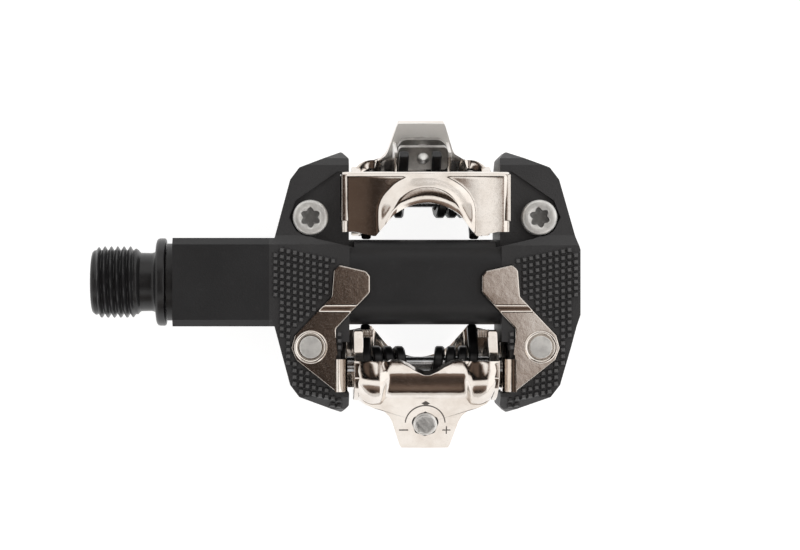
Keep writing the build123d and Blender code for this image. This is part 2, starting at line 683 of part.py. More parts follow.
with BuildPart() as claw:
    # side walls round the pivot shaft
    with BuildSketch(across(CLAW_HALF - CLAW_WALL)):
        with BuildLine():
            Polyline(
                (PIVOT_Y + EAR_NECK, EAR_NECK_Z),
                (PRONG_Y, HOOK_TOP_Z - PRONG_FALL[0]),
                (PRONG_Y, HOOK_TOP_Z - PRONG_FALL[1]),
                (LIP_Y + 1.0, HOOK_TOP_Z - 2 * CLAW_SHEET),
                (LIP_Y, HOOK_TOP_Z - CLAW_SHEET),
                *claw_back,
                (PIVOT_Y - EAR_NECK, EAR_NECK_Z),
                close=True,
            )
        make_face()
        with Locations((PIVOT_Y, 0)):
            Circle(EAR_RADIUS)
            Circle(SHAFT_PIN_DIA / 2 + RUN_GAP, mode=Mode.SUBTRACT)
    extrude(amount=CLAW_WALL)
    mirror(about=MIRROR)
    # lip and back
    with BuildSketch(across(-CLAW_HALF)):
        with BuildLine():
            Polyline(
                *claw_back,
                *[(y + dy, z + dz) for (y, z), (dy, dz) in zip(reversed(claw_back), inward)],
                close=True,
            )
        make_face()
    extrude(amount=2 * CLAW_HALF)
    # tongue
    with BuildSketch(adjust_plane):
        with BuildLine():
            edge_points = [(x, along_tongue(y)) for x, y in TONGUE_WIDE]
            edge_points.append((TONGUE_TIP_HALF, along_tongue(TONGUE_END_Y)))
            Polyline(*edge_points, *[(-x, y) for x, y in reversed(edge_points)], close=True)
        make_face()
        Circle(ADJUST_HEAD_DIA / 2 + RUN_GAP, mode=Mode.SUBTRACT)
    extrude(amount=-TONGUE_THICK)
    # rails under the tongue that guide the adjuster's nut and plate
    with BuildSketch(adjust_plane.offset(-TONGUE_THICK / 2)):
        for side in (-1, 1):
            with Locations((side * (RAIL_IN + RAIL_THICK / 2), sum(RAIL_SPAN) / 2)):
                Rectangle(RAIL_THICK, RAIL_SPAN[1] - RAIL_SPAN[0])
    extrude(amount=-(RAIL_DEPTH - TONGUE_THICK / 2))
    # dip in the lip over the cleat's tail
    with BuildSketch(level(HOOK_TOP_Z - 2 * CLAW_SHEET)):
        with BuildLine():
            ThreePointArc(
                (-LIP_DIP_HALF, LIP_Y + SIDE_GAP),
                (0, LIP_DIP_Y),
                (LIP_DIP_HALF, LIP_Y + SIDE_GAP),
            )
            Line((LIP_DIP_HALF, LIP_Y + SIDE_GAP), (-LIP_DIP_HALF, LIP_Y + SIDE_GAP))
        make_face()
    extrude(amount=3 * CLAW_SHEET, mode=Mode.SUBTRACT)
save(claw.part, "upper_claw")
save(turned_over(claw.part), "lower_claw")

# ---- adjusting screw, its nut and the plate it pushes --------------------------------------
with BuildPart() as adjuster:
    with BuildSketch(adjust_plane.offset(ADJUST_PROUD)):
        Circle(ADJUST_HEAD_DIA / 2)
    extrude(amount=-ADJUST_HEAD)
    chamfer(adjuster.edges().filter_by(GeomType.CIRCLE).sort_by(Axis.Z)[-1], ADJUST_CHAMFER)
    with BuildSketch(adjust_plane):
        Circle(ADJUST_SHANK_DIA / 2)
    extrude(amount=plate_top)
    with BuildSketch(adjust_plane.offset(plate_top)):
        Circle(ADJUST_PILOT_DIA / 2)
    extrude(amount=-TENSION_PLATE_THICK - PILOT_EXTRA)
    with BuildSketch(adjust_plane.offset(plate_top - TENSION_PLATE_THICK - PILOT_EXTRA)):
        Circle(ADJUST_PILOT_DIA / 2)
    extrude(amount=-CONE_TIP, taper=CONE_TIP_TAPER)
    with BuildSketch(adjust_plane.offset(ADJUST_PROUD)):
        RegularPolygon(ADJUST_KEY / 2, 6, major_radius=False)
    extrude(amount=-ADJUST_KEY_DEPTH, mode=Mode.SUBTRACT)
save(adjuster.part, "upper_adjusting_screw")
save(turned_over(adjuster.part), "lower_adjusting_screw")

with BuildPart() as nut_plate:
    with BuildSketch(adjust_plane.offset(nut_top)):
        RectangleRounded(2 * (RAIL_IN - RAIL_GAP), NUT_PLATE_DEPTH, NUT_PLATE_ROUND)
        Circle(ADJUST_SHANK_DIA / 2 + RUN_GAP, mode=Mode.SUBTRACT)
    extrude(amount=-NUT_PLATE_THICK)
save(nut_plate.part, "upper_adjuster_nut")
save(turned_over(nut_plate.part), "lower_adjuster_nut")

with BuildPart() as tension_plate:
    with BuildSketch(adjust_plane.offset(plate_top)):
        RectangleRounded(2 * (RAIL_IN - RAIL_GAP), TENSION_PLATE_DEPTH, TENSION_PLATE_ROUND)
        Circle(ADJUST_PILOT_DIA / 2 + RUN_GAP, mode=Mode.SUBTRACT)
    extrude(amount=-TENSION_PLATE_THICK)
save(tension_plate.part, "upper_tension_plate")
save(turned_over(tension_plate.part), "lower_tension_plate")

# ---- torsion springs -----------------------------------------------------------------------
coil_radius = SHAFT_PIN_DIA / 2 + COIL_GAP + SPRING_WIRE / 2
# the leg to the tube ends on the tube's side
tube_leg = (
    -(TUBE_WIDTH / 2 - BARREL_STEP)
    - LEG_GAP
    - PIVOT_Y
    - (coil_radius + SPRING_WIRE / 2) * cos(radians(SPRING_LEG_START))
) / sin(radians(SPRING_LEG_START))
# the leg to the tension plate leaves the coil where it just clears the plate's lower edge
plate_edge = adjust_plane.from_local_coords(
    Vector(0, TENSION_PLATE_DEPTH / 2, plate_top - TENSION_PLATE_THICK)
) - Vector(PEDAL_X, PIVOT_Y, 0)
plate_edge_turn = degrees(atan2(plate_edge.Z, plate_edge.Y)) % 360
leg_reach = coil_radius + SPRING_WIRE / 2 + LEG_GAP
leg_end = plate_edge_turn - degrees(acos(leg_reach / hypot(plate_edge.Y, plate_edge.Z)))


def torsion_spring(outer, inner):
    """Coil from its outer to its inner end, with a leg to the tube and one to the tension plate."""
    way = 1 if inner > outer else -1
    start = outer + way * SPRING_WIRE / 2
    end = inner - way * SPRING_WIRE / 2
    turns = SPRING_TURNS + (leg_end - SPRING_LEG_START) / 360
    coil_plane = Plane(
        origin=(PEDAL_X + start, PIVOT_Y, 0),
        x_dir=(0, cos(radians(SPRING_LEG_START)), sin(radians(SPRING_LEG_START))),
        z_dir=(way, 0, 0),
    )
    coil = coil_plane * Helix(abs(end - start) / turns, abs(end - start), coil_radius)
    with BuildPart() as spring:
        with BuildSketch(Plane(origin=coil @ 0, x_dir=coil_plane.x_dir, z_dir=coil % 0)):
            RectangleRounded(SPRING_WIRE, SPRING_WIRE, SPRING_CORNER)
        sweep(path=coil, is_frenet=True)
        for x, angle, turn, length in (
            (start, SPRING_LEG_START, -1, tube_leg),
            (end, leg_end, 1, PLATE_LEG),
        ):
            radial = (0, cos(radians(angle)), sin(radians(angle)))
            tangent = (0, -turn * sin(radians(angle)), turn * cos(radians(angle)))
            foot = Vector(PEDAL_X + x, PIVOT_Y, 0) + Vector(*radial) * coil_radius
            with BuildSketch(Plane(origin=foot, x_dir=(1, 0, 0), z_dir=tangent)):
                RectangleRounded(SPRING_WIRE, SPRING_WIRE, SPRING_CORNER)
            extrude(amount=length)
    return spring.part


for name, (outer, inner) in (
    ("inboard", SPRING_SPANS[0]),
    ("outboard", SPRING_SPANS[1][::-1]),
):
    spring = torsion_spring(outer, inner)
    save(spring, f"upper_{name}_spring")
    save(turned_over(spring), f"lower_{name}_spring")
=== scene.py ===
# %% [markdown]
# # A clipless pedal
# The CAD frame holds every size and every joint. This script only dresses it. It loads the
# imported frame, makes finer meshes for the pieces that people look at, gives each surface a
# finish of its own, and sets up a pale table, soft light and a camera.

import json
import math

import bmesh
import bpy
from mathutils import Matrix, Vector


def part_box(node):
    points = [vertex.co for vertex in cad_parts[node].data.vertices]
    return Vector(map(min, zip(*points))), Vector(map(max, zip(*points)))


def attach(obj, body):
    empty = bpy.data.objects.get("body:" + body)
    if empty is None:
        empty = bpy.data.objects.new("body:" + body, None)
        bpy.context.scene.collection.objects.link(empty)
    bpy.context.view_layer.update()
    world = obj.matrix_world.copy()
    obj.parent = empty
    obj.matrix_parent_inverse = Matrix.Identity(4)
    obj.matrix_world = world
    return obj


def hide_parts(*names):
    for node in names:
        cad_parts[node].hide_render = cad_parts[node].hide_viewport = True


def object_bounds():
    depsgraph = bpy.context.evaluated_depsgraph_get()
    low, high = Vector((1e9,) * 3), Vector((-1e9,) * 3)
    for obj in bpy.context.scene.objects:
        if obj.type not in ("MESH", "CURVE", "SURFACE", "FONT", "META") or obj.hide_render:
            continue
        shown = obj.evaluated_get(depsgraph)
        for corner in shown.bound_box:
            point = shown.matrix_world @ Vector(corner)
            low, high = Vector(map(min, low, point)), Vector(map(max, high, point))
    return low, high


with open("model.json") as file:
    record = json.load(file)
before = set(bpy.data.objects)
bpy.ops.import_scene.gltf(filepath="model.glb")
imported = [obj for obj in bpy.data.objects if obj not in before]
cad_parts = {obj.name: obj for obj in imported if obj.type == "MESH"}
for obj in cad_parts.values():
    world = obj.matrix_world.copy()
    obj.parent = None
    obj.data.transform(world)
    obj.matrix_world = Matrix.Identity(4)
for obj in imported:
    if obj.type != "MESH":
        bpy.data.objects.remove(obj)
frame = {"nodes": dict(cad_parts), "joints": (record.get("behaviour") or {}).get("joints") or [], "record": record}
cad_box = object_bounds()
record = frame["record"]
print("CAD box in mm:", [[round(c * 1000, 2) for c in corner] for corner in cad_box])

# %% [markdown]
# ## Where things are
# All meshes below are drawn in millimetres, with X measured from the middle of the cleat
# mechanism, because that is how a fitter would measure the pedal. They are scaled to metres
# and shifted along the spindle when they are finished. The reference sizes come from the
# frame, so a change in the CAD moves them too.

# %% Reference sizes
MM = 0.001
mounts = {mount["name"]: mount for mount in record["mounts"]}
joints = {joint["name"]: joint for joint in frame["joints"]}


def box_mm(node):
    """Lowest and highest corner of a node in millimetres."""
    low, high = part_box(node)
    return low / MM, high / MM


MIDDLE = mounts["cleat_seat_upper"]["pos_m"][0] / MM
SEAT_Z = mounts["cleat_seat_upper"]["pos_m"][2] / MM
PIVOT_Y = box_mm("upper_pivot_shaft")[0].y + 1.5
hook_high = box_mm("upper_hook_plate")[1]
claw_high = box_mm("upper_claw")[1]
ARM_INNER, ARM_OUTER = 14.9, box_mm("pedal_body")[1].x - MIDDLE
GRIP_FACE_Z, GRIP_FALL_Y, GRIP_FALL = 8.5, 12.7, 0.152
SCREW_X, SCREW_Y = 22.5, 12.7
TILT = math.radians(20)
screw_at = joints["upper_adjuster_turn"]["pos_m"]
TONGUE_SPOT = Vector((0, screw_at[1] / MM, screw_at[2] / MM))
print("middle", MIDDLE, "seat", SEAT_Z, "pivot", PIVOT_Y, "lip", claw_high.z)

# %% [markdown]
# ## Shader maths as expressions
# A finish is a small formula: noise plus a scratch pattern, clipped and scaled. Written as
# nodes it is hard to read, so one class wraps a socket and turns `+ - * /` into Math nodes.
# Every other node comes from one method.


# %% Sockets that do arithmetic
class Socket:
    """An output socket. Arithmetic on it adds Math nodes."""

    def __init__(self, finish, socket):
        self.finish = finish
        self.socket = socket

    def math(self, operation, *values):
        return self.finish.node("ShaderNodeMath", {"operation": operation}, *values)

    def __add__(self, other):
        return self.math("ADD", self, other)

    def __sub__(self, other):
        return self.math("SUBTRACT", self, other)

    def __rsub__(self, other):
        return self.math("SUBTRACT", other, self)

    def __mul__(self, other):
        return self.math("MULTIPLY", self, other)

    def __truediv__(self, other):
        return self.math("DIVIDE", self, other)

    __radd__ = __add__
    __rmul__ = __mul__

    def power(self, exponent):
        return self.math("POWER", self, exponent)

    def size(self):
        return self.math("ABSOLUTE", self)

    def most(self, other):
        return self.math("MAXIMUM", self, other)

    def step(self, low, high):
        """0 below low, 1 above high, smooth between; low may be the greater."""
        settings = {"interpolation_type": "SMOOTHSTEP", "clamp": True}
        return self.finish.node("ShaderNodeMapRange", settings, self, low, high)


class Finish:
    """A material with one Principled shader."""

    def __init__(self, name, **constants):
        self.material = bpy.data.materials.new(name)
        self.material.use_nodes = True
        self.tree = self.material.node_tree
        self.tree.nodes.clear()
        self.shader = self.tree.nodes.new("ShaderNodeBsdfPrincipled")
        output = self.tree.nodes.new("ShaderNodeOutputMaterial")
        self.tree.links.new(self.shader.outputs[0], output.inputs[0])
        for key, value in constants.items():
            self.shader.inputs[key.replace("_", " ")].default_value = value

    def node(self, kind, settings=None, *values, output=0, **named):
        """Any node: its type, its settings, then values or links for its sockets."""
        node = self.tree.nodes.new(kind)
        for key, value in (settings or {}).items():
            setattr(node, key, value)
        sockets = [s for s in node.inputs if s.enabled]
        pairs = list(zip(sockets, values))
        pairs += [(node.inputs[key.replace("_", " ")], value) for key, value in named.items()]
        for socket, value in pairs:
            if isinstance(value, Socket):
                self.tree.links.new(value.socket, socket)
            elif value is not None:
                socket.default_value = value
        outputs = [s for s in node.outputs if s.enabled]
        return Socket(self, outputs[output])

    def place(self):
        """Object coordinates in metres."""
        return self.node("ShaderNodeTexCoord", None, output=3)

    def axes(self):
        """The three object coordinates as separate values, in millimetres."""
        scaled = self.node(
            "ShaderNodeVectorMath", {"operation": "SCALE"}, self.place(), Scale=1 / MM
        )
        node = self.tree.nodes.new("ShaderNodeSeparateXYZ")
        self.tree.links.new(scaled.socket, node.inputs[0])
        return [Socket(self, out) for out in node.outputs]

    def noise(self, grain_mm, detail=3.0, roughness=0.5, vector=None):
        """Noise whose blobs are about grain_mm across."""
        return self.node(
            "ShaderNodeTexNoise",
            {"noise_dimensions": "3D"},
            Vector=vector or self.place(),
            Scale=1 / (grain_mm * MM),
            Detail=detail,
            Roughness=roughness,
        )

    def mix(self, factor, first, second):
        """Mixes two colours."""
        return self.node(
            "ShaderNodeMix",
            {"data_type": "RGBA", "clamp_factor": True},
            factor,
            (*first, 1) if isinstance(first, tuple) else first,
            (*second, 1) if isinstance(second, tuple) else second,
        )

    def bump(self, height, depth_mm):
        return self.node(
            "ShaderNodeBump", None, Height=height, Distance=depth_mm * MM, Strength=1.0
        )

    def set(self, **links):
        for key, value in links.items():
            self.tree.links.new(value.socket, self.shader.inputs[key.replace("_", " ")])
        return self.material


# %% [markdown]
# ## Finishes
# The body is a black glass-filled composite with a fine moulded grain. The stampings are
# polished nickel over steel, so they mirror the room but ripple a little. The spindle is
# black satin plating, the springs are oiled black wire, and the screws are dull zinc.


# %% Black composite of the body
def composite():
    finish = Finish("black_composite", Metallic=0.0, IOR=1.46)
    grain = finish.noise(0.35, 4.0, 0.65)
    cloud = finish.noise(9.0, 3.0, 0.5)
    dust = finish.noise(1.6, 5.0, 0.7).step(0.56, 0.78)
    colour = finish.mix(cloud, (0.011, 0.0115, 0.0130), (0.020, 0.0205, 0.0225))
    colour = finish.mix(dust * 0.30, colour, (0.040, 0.040, 0.042))
    x, y, z = finish.axes()
    fall = (y.size() - GRIP_FALL_Y).most(0) * GRIP_FALL
    side = (x - MIDDLE).size()
    arms = side.step(ARM_INNER - 0.1, ARM_INNER + 0.1) * side.step(ARM_OUTER + 0.4, ARM_OUTER + 0.2)
    # The arms are painted lighter than the barrel and tube of the same moulding: painted light on the arm faces.
    colour = finish.mix(arms, colour, finish.mix(cloud, (0.026, 0.026, 0.028), (0.042, 0.042, 0.044)))
    # The tops of the grip pyramids are painted light grey: a painted highlight on the raised tips.
    painted_tip_highlight = (z.size() - GRIP_FACE_Z + fall).step(0.18, 0.52)
    colour = finish.mix(painted_tip_highlight * 0.85, colour, (0.11, 0.11, 0.113))
    normal = finish.bump(grain * (0.6 + arms * 0.8), 0.045)
    roughness = 0.38 + cloud * 0.10 + grain * 0.10
    return finish.set(Base_Color=colour, Roughness=roughness, Normal=normal)


# %% Black plating of the spindle and the lock bolt
def black_plating(name="black_plating", shine=0.24):
    finish = Finish(name, Metallic=0.35, IOR=1.5)
    turning = finish.node(
        "ShaderNodeMapping", {"vector_type": "POINT"}, finish.place(), Scale=(9.0, 0.35, 0.35)
    )
    lathe = finish.noise(0.9, 2.0, 0.6, turning)
    cloud = finish.noise(6.0, 3.0, 0.6)
    colour = finish.mix(cloud, (0.016, 0.016, 0.017), (0.032, 0.032, 0.034))
    normal = finish.bump(lathe, 0.012)
    roughness = shine + lathe * 0.10 + cloud * 0.06
    return finish.set(Base_Color=colour, Roughness=roughness, Normal=normal)


# %% Polished nickel of the stampings
def above_tongue(y, z):
    """Distance out from the outer face of either tongue."""
    down = (y.size() + TONGUE_SPOT.y) * math.sin(TILT)
    return down + (z.size() - TONGUE_SPOT.z) * math.cos(TILT)


def tongue_back_painted_pale(finish):
    """The face of each tongue that looks back at the pedal; it is painted pale as a painted reflection."""
    y, z = finish.axes()[1:]
    return y.size().step(24.5, 25.5) * above_tongue(y, z).step(-1.6, -1.8)


def nickel(name="polished_nickel", marks=None):
    finish = Finish(name, Metallic=1.0)
    peel = finish.noise(1.1, 2.0, 0.5)
    speckle = finish.noise(0.28, 3.0, 0.7)
    stain = finish.noise(5.0, 3.0, 0.6)
    colour = finish.mix(stain.step(0.35, 0.75), (0.80, 0.755, 0.71), (0.70, 0.64, 0.585))
    roughness = 0.07 + speckle.step(0.45, 0.75) * 0.10 + stain * 0.06
    height = peel * 1.0 + speckle * 0.35
    if marks:
        cut = marks(finish)
        colour = finish.mix(cut * 0.85, colour, (0.05, 0.045, 0.04))
        height = height - cut * 6.0
        # The back face of each tongue is painted near white and rough: a painted reflection of bright light that
        # the pedal blocks from it.
        painted_pale_reflection = tongue_back_painted_pale(finish)
        colour = finish.mix(painted_pale_reflection, colour, (0.95, 0.94, 0.92))
        roughness = roughness + cut * 0.4 + painted_pale_reflection * 0.62
    normal = finish.bump(height, 0.008)
    return finish.set(Base_Color=colour, Roughness=roughness, Normal=normal)


# %% Plain metals: zinc, ground steel, spring wire
def plain_metal(
    name, dark, light, rough, grain_mm=0.25, depth_mm=0.01, metallic=1.0, recess=None
):
    finish = Finish(name, Metallic=metallic)
    fine = finish.noise(grain_mm, 4.0, 0.65)
    cloud = finish.noise(2.6, 3.0, 0.6)
    colour = finish.mix(cloud.step(0.3, 0.7), dark, light)
    if recess:
        # A recess mask darkens the colour towards black there: painted shade down in the recess.
        colour = finish.mix(recess(finish), colour, (0.03, 0.03, 0.03))
    normal = finish.bump(fine, depth_mm)
    return finish.set(Base_Color=colour, Roughness=rough + fine * 0.18, Normal=normal)


composite_black = composite()
spindle_black = black_plating()
collar_black = black_plating("collar_black", 0.34)
nickel_plate = nickel()
ground = plain_metal("ground_steel", (0.42, 0.43, 0.44), (0.58, 0.59, 0.60), 0.16)
dull_steel = plain_metal("dull_steel", (0.30, 0.29, 0.28), (0.48, 0.47, 0.45), 0.30)
spring_steel = plain_metal(
    "oiled_spring", (0.012, 0.012, 0.013), (0.030, 0.030, 0.032), 0.22, 0.5, 0.02, 0.5
)


def star_recess_shade(finish):
    """Painted shade down in the six-lobed recesses."""
    x, y, z = finish.axes()
    across = (x - MIDDLE).size() - SCREW_X
    along = y.size() - SCREW_Y
    inside_head = 1 - (across * across + along * along).step(3.6, 4.6)
    return inside_head * (1 - z.size().step(7.15, 7.5)) * 0.75


def socket_recess_shade(finish):
    """Painted shade down in the hexagon sockets."""
    x, y, z = finish.axes()
    height = above_tongue(y, z)
    inside_head = 1 - (x - MIDDLE).size().step(1.5, 1.7)
    return inside_head * (1 - height.step(-0.3, 0.4)) * height.step(-2.2, -2.0) * 0.93


star_zinc = plain_metal(
    "star_zinc", (0.62, 0.62, 0.61), (0.84, 0.84, 0.82), 0.40, 0.22, 0.035, 0.85, star_recess_shade
)
socket_zinc = plain_metal(
    "socket_zinc", (0.70, 0.70, 0.69), (0.88, 0.88, 0.86), 0.30, 0.22, 0.03, 0.9, socket_recess_shade
)
rubber = plain_metal("seal_rubber", (0.012,) * 3, (0.022,) * 3, 0.6, 0.3, 0.02, 0.0)
print("finishes:", len(bpy.data.materials))


# %% [markdown]
# ## Mesh helpers
# Most pieces are rings joined by walls: a shaft, a screw head with its recess, a wire. `skin`
# joins rings that have the same number of points. `soften` rounds the corners, because no
# real edge is perfectly sharp and the thin bright line along an edge is what makes metal look
# like metal.


# %% Rings, walls and softened edges
def ring(bm, points):
    """A closed loop of edges through the points."""
    verts = [bm.verts.new(point) for point in points]
    pairs = zip(verts, verts[1:] + verts[:1])
    return verts, [bm.edges.new(pair) for pair in pairs]


def skin(bm, rings, lids=(True, True)):
    """Joins rings of equal count with walls, and closes the ends that need a lid."""
    made = [ring(bm, points) for points in rings]
    for (_, first), (_, second) in zip(made, made[1:]):
        bmesh.ops.bridge_loops(bm, edges=first + second)
    for (verts, _), wanted in zip((made[0], made[-1]), lids):
        if wanted:
            bmesh.ops.contextual_create(bm, geom=verts)
    return made


def sharp_edges(bm, degrees):
    limit = math.radians(degrees)
    return [e for e in bm.edges if len(e.link_faces) == 2 and e.calc_face_angle(0) > limit]


def soften(bm, width, degrees=30, segments=2):
    """Rounds every edge sharper than the angle."""
    bmesh.ops.recalc_face_normals(bm, faces=bm.faces)
    bmesh.ops.bevel(
        bm,
        geom=sharp_edges(bm, degrees),
        offset=width,
        offset_type="OFFSET",
        affect="EDGES",
        segments=segments,
        profile=0.5,
        material=-1,
        clamp_overlap=True,
    )


def merge_in(bm, other, turn=None):
    """Adds another bmesh to this one, turned by a matrix if one is given."""
    if turn is not None:
        other.transform(turn)
    mesh = bpy.data.meshes.new("part")
    other.to_mesh(mesh)
    other.free()
    bm.from_mesh(mesh)
    bpy.data.meshes.remove(mesh)


TURN_OVER = Matrix.Rotation(math.pi, 4, "X")
FLIP_SIDE = Matrix.Diagonal((-1, 1, 1, 1))
SMOOTH_BELOW = math.radians(38)


def finish_piece(bm, name, body, material, stands_for, from_middle=True):
    """Turns a drawing in millimetres into a piece of the pedal."""
    bmesh.ops.remove_doubles(bm, verts=bm.verts, dist=0.0005)
    bmesh.ops.recalc_face_normals(bm, faces=bm.faces)
    shift = Vector((MIDDLE if from_middle else 0, 0, 0))
    bmesh.ops.translate(bm, verts=bm.verts, vec=shift)
    bmesh.ops.scale(bm, verts=bm.verts, vec=(MM, MM, MM))
    mesh = bpy.data.meshes.new(name)
    bm.to_mesh(mesh)
    bm.free()
    return show(mesh, name, body, material, stands_for)


def show(mesh, name, body, material, stands_for):
    piece = bpy.data.objects.new(name, mesh)
    bpy.context.scene.collection.objects.link(piece)
    mesh.materials.clear()
    mesh.materials.append(material)
    mesh.shade_smooth()
    mesh.set_sharp_from_angle(angle=SMOOTH_BELOW)
    weighted = piece.modifiers.new("even_shading", "WEIGHTED_NORMAL")
    weighted.keep_sharp = True
    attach(piece, body)
    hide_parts(*stands_for)
    print(name, len(mesh.polygons), "faces")
    return piece


def turned_over(piece, name, body, stands_for, material=None):
    """The same piece on the lower face."""
    mesh = piece.data.copy()
    mesh.transform(TURN_OVER)
    return show(mesh, name, body, material or piece.data.materials[0], stands_for)


def circle_points(radius, count, to_point):
    """Points round a circle, each mapped by to_point(u, v)."""
    angles = [2 * math.pi * i / count for i in range(count)]
    return [to_point(radius * math.cos(a), radius * math.sin(a)) for a in angles]


# %% Dress the CAD nodes that keep their own shape
def dress(nodes, material):
    for name in nodes:
        data = frame["nodes"][name].data
        data.materials.clear()
        data.materials.append(material)


dress(["lock_bolt"], collar_black)
dress(["lip_seal"], rubber)
dress(["bearing_sleeve", "inboard_balls", "outboard_balls", "bearing_cone"], ground)
dress(["cone_lock_nut"], dull_steel)
for face in ("upper", "lower"):
    dress([f"{face}_pivot_shaft"], ground)
    dress([f"{face}_adjuster_nut", f"{face}_tension_plate"], dull_steel)

# %% [markdown]
# ## Spindle
# The real spindle is turned from one bar and its thread is rolled. A lathe job is a profile
# spun round the axis. The thread cannot be spun, because it climbs one pitch per turn, so the
# spun rings in that stretch are moved in and out afterwards by how far each point is from the
# helix. The hexagon socket is a ring of the same count as the bar, pushed in.

# %% Turn the spindle
PITCH = 25.4 / 20
THREAD_DEPTH = 0.78
THREAD_END = -3.7
SOCKET_ACROSS, SOCKET_DEPTH = 8.0, 7.0
SHAFT_RADIUS, END_RADIUS = 4.4, 3.5
AROUND = 120
spindle_low, spindle_high = box_mm("spindle")
thread_radius = mounts["crank_thread"]["dims"]["r_mm"]
flange_radius = spindle_high.z
sleeve_start = box_mm("bearing_sleeve")[0].x
cone_low, cone_high = box_mm("bearing_cone")
journal_radius = cone_high.z
flange_end = box_mm("lock_bolt")[0].x - 0.3


def bar_ring(x, radius):
    return circle_points(radius, AROUND, lambda u, v: Vector((x, u, v)))


def hexagon_ring(x, across):
    """A hexagon with the same number of points as the bar, pointed along Y."""
    points = []
    for i in range(AROUND):
        angle = 2 * math.pi * i / AROUND
        side = (angle + math.pi / 6) % (math.pi / 3) - math.pi / 6
        radius = across / 2 / math.cos(math.pi / 6 - abs(side))
        points.append(Vector((x, radius * math.cos(angle), radius * math.sin(angle))))
    return points


def thread_wave(turns):
    """Height of a 60 degree thread form, 0 to 1, with a narrow flat crest and root."""
    slope = abs(2 * (turns % 1) - 1)
    return min(1.0, max(0.0, slope * 1.35 - 0.175))


def turn_spindle():
    bm = bmesh.new()
    start, end = spindle_low.x, THREAD_END
    rings = [hexagon_ring(start + depth, SOCKET_ACROSS) for depth in (SOCKET_DEPTH, 0.35)]
    rings += [hexagon_ring(start, SOCKET_ACROSS + 0.5), bar_ring(start, 5.6)]
    rings += [bar_ring(start + 0.1, thread_radius - 1.15)]
    steps = int((end - start) / (PITCH / 10))
    threaded = [start + 0.3 + (end - start - 0.3) * i / steps for i in range(steps + 1)]
    for x in threaded:
        room = min(1.0, (x - start - 0.2) / 1.3)
        fade = min(1.0, max(0.0, (end - x) / 1.1))
        points = []
        for i in range(AROUND):
            angle = 2 * math.pi * i / AROUND
            wave = thread_wave((x - start) / PITCH - i / AROUND)
            crest = thread_radius - (1 - room)
            root = thread_radius - THREAD_DEPTH
            radius = min(crest, root + (crest - root) * wave)
            radius = radius * fade + (root + 0.1) * (1 - fade)
            points.append(Vector((x, radius * math.cos(angle), radius * math.sin(angle))))
        rings.append(points)
    profile = [
        (end + 0.25, 6.15),
        (end + 0.6, 5.85),
        (-1.0, 5.8),
        (-0.45, 5.95),
        (-0.12, 6.3),
        (0.0, 6.7),
        (0.0, flange_radius - 0.75),
        (0.1, flange_radius - 0.4),
        (0.35, flange_radius - 0.12),
        (0.7, flange_radius),
        (flange_end - 0.3, flange_radius),
        (flange_end - 0.1, flange_radius - 0.08),
        (flange_end, flange_radius - 0.25),
        (flange_end, journal_radius),
        (sleeve_start, journal_radius),
        (sleeve_start + 0.6, SHAFT_RADIUS),
        (cone_low.x - 2.3, SHAFT_RADIUS),
        (cone_low.x - 2.3, END_RADIUS),
        (spindle_high.x - 0.4, END_RADIUS),
        (spindle_high.x, 3.1),
    ]
    rings += [bar_ring(x, radius) for x, radius in profile]
    skin(bm, rings)
    return finish_piece(
        bm, "spindle_turned", "spindle", spindle_black, ["spindle"], False
    )


turn_spindle()

# %% [markdown]
# ## Body
# The body is moulded, so its faces are flat and its edges have a small even radius. The CAD
# body already has every face, slot and bore, so a merged copy of it is the best start, and
# a bevel gives it the mould's radius. The grip faces carry rows of small blunt pyramids.

# %% Round the moulded edges
GRIP_PITCH = 1.28
GRIP_LEAN = math.radians(12)
GRIP_HEIGHT = 0.55


def merged_copy(node):
    """A node's mesh in millimetres from the middle, as flat faces instead of triangles."""
    bm = bmesh.new()
    bm.from_mesh(frame["nodes"][node].data)
    bmesh.ops.scale(bm, verts=bm.verts, vec=(1 / MM,) * 3)
    bmesh.ops.translate(bm, verts=bm.verts, vec=(-MIDDLE, 0, 0))
    bmesh.ops.remove_doubles(bm, verts=bm.verts, dist=0.002)
    bmesh.ops.dissolve_limit(
        bm, angle_limit=math.radians(1), verts=bm.verts, edges=bm.edges, delimit=set()
    )
    return bm


def plate_outline():
    """Plan of one wear plate on the +X side."""
    return [
        (10.9, 1.2),
        (11.7, 2.2),
        (16.9, 3.4),
        (18.0, 2.3),
        (18.4, -2.8),
        (25.6, -10.4),
        (26.3, -12.9),
        (25.4, -15.2),
        (18.0, -21.1),
        (16.4, -21.6),
        (15.2, -21.6),
        (15.2, -15.1),
        (16.8, -15.0),
        (17.5, -14.2),
        (17.5, -9.1),
        (10.9, -2.0),
    ]


def inside(x, y, outline):
    """Whether a point is inside a closed outline."""
    crossings = 0
    for (x1, y1), (x2, y2) in zip(outline, outline[1:] + outline[:1]):
        if (y1 > y) != (y2 > y) and x < (x2 - x1) * (y - y1) / (y2 - y1) + x1:
            crossings += 1
    return crossings % 2 == 1


def rounded(outline, radius):
    """The outline with an arc at every corner."""
    steps = 4
    made = []
    count = len(outline)
    for i in range(count):
        corner = Vector(outline[i])
        back, ahead = Vector(outline[i - 1]) - corner, Vector(outline[(i + 1) % count]) - corner
        turn = back.angle(ahead)
        reach = min(radius / math.tan(turn / 2), 0.45 * back.length, 0.45 * ahead.length)
        start, end = corner + back.normalized() * reach, corner + ahead.normalized() * reach
        for k in range(steps + 1):
            t = k / steps
            made.append(start * (1 - t) ** 2 + corner * 2 * t * (1 - t) + end * t * t)
    return made


def drawn_in(points, distance):
    """The outline moved inwards; the points run anticlockwise."""
    made = []
    for i, point in enumerate(points):
        along = (points[(i + 1) % len(points)] - points[i - 1]).normalized()
        made.append(point + Vector((-along.y, along.x)) * distance)
    return made


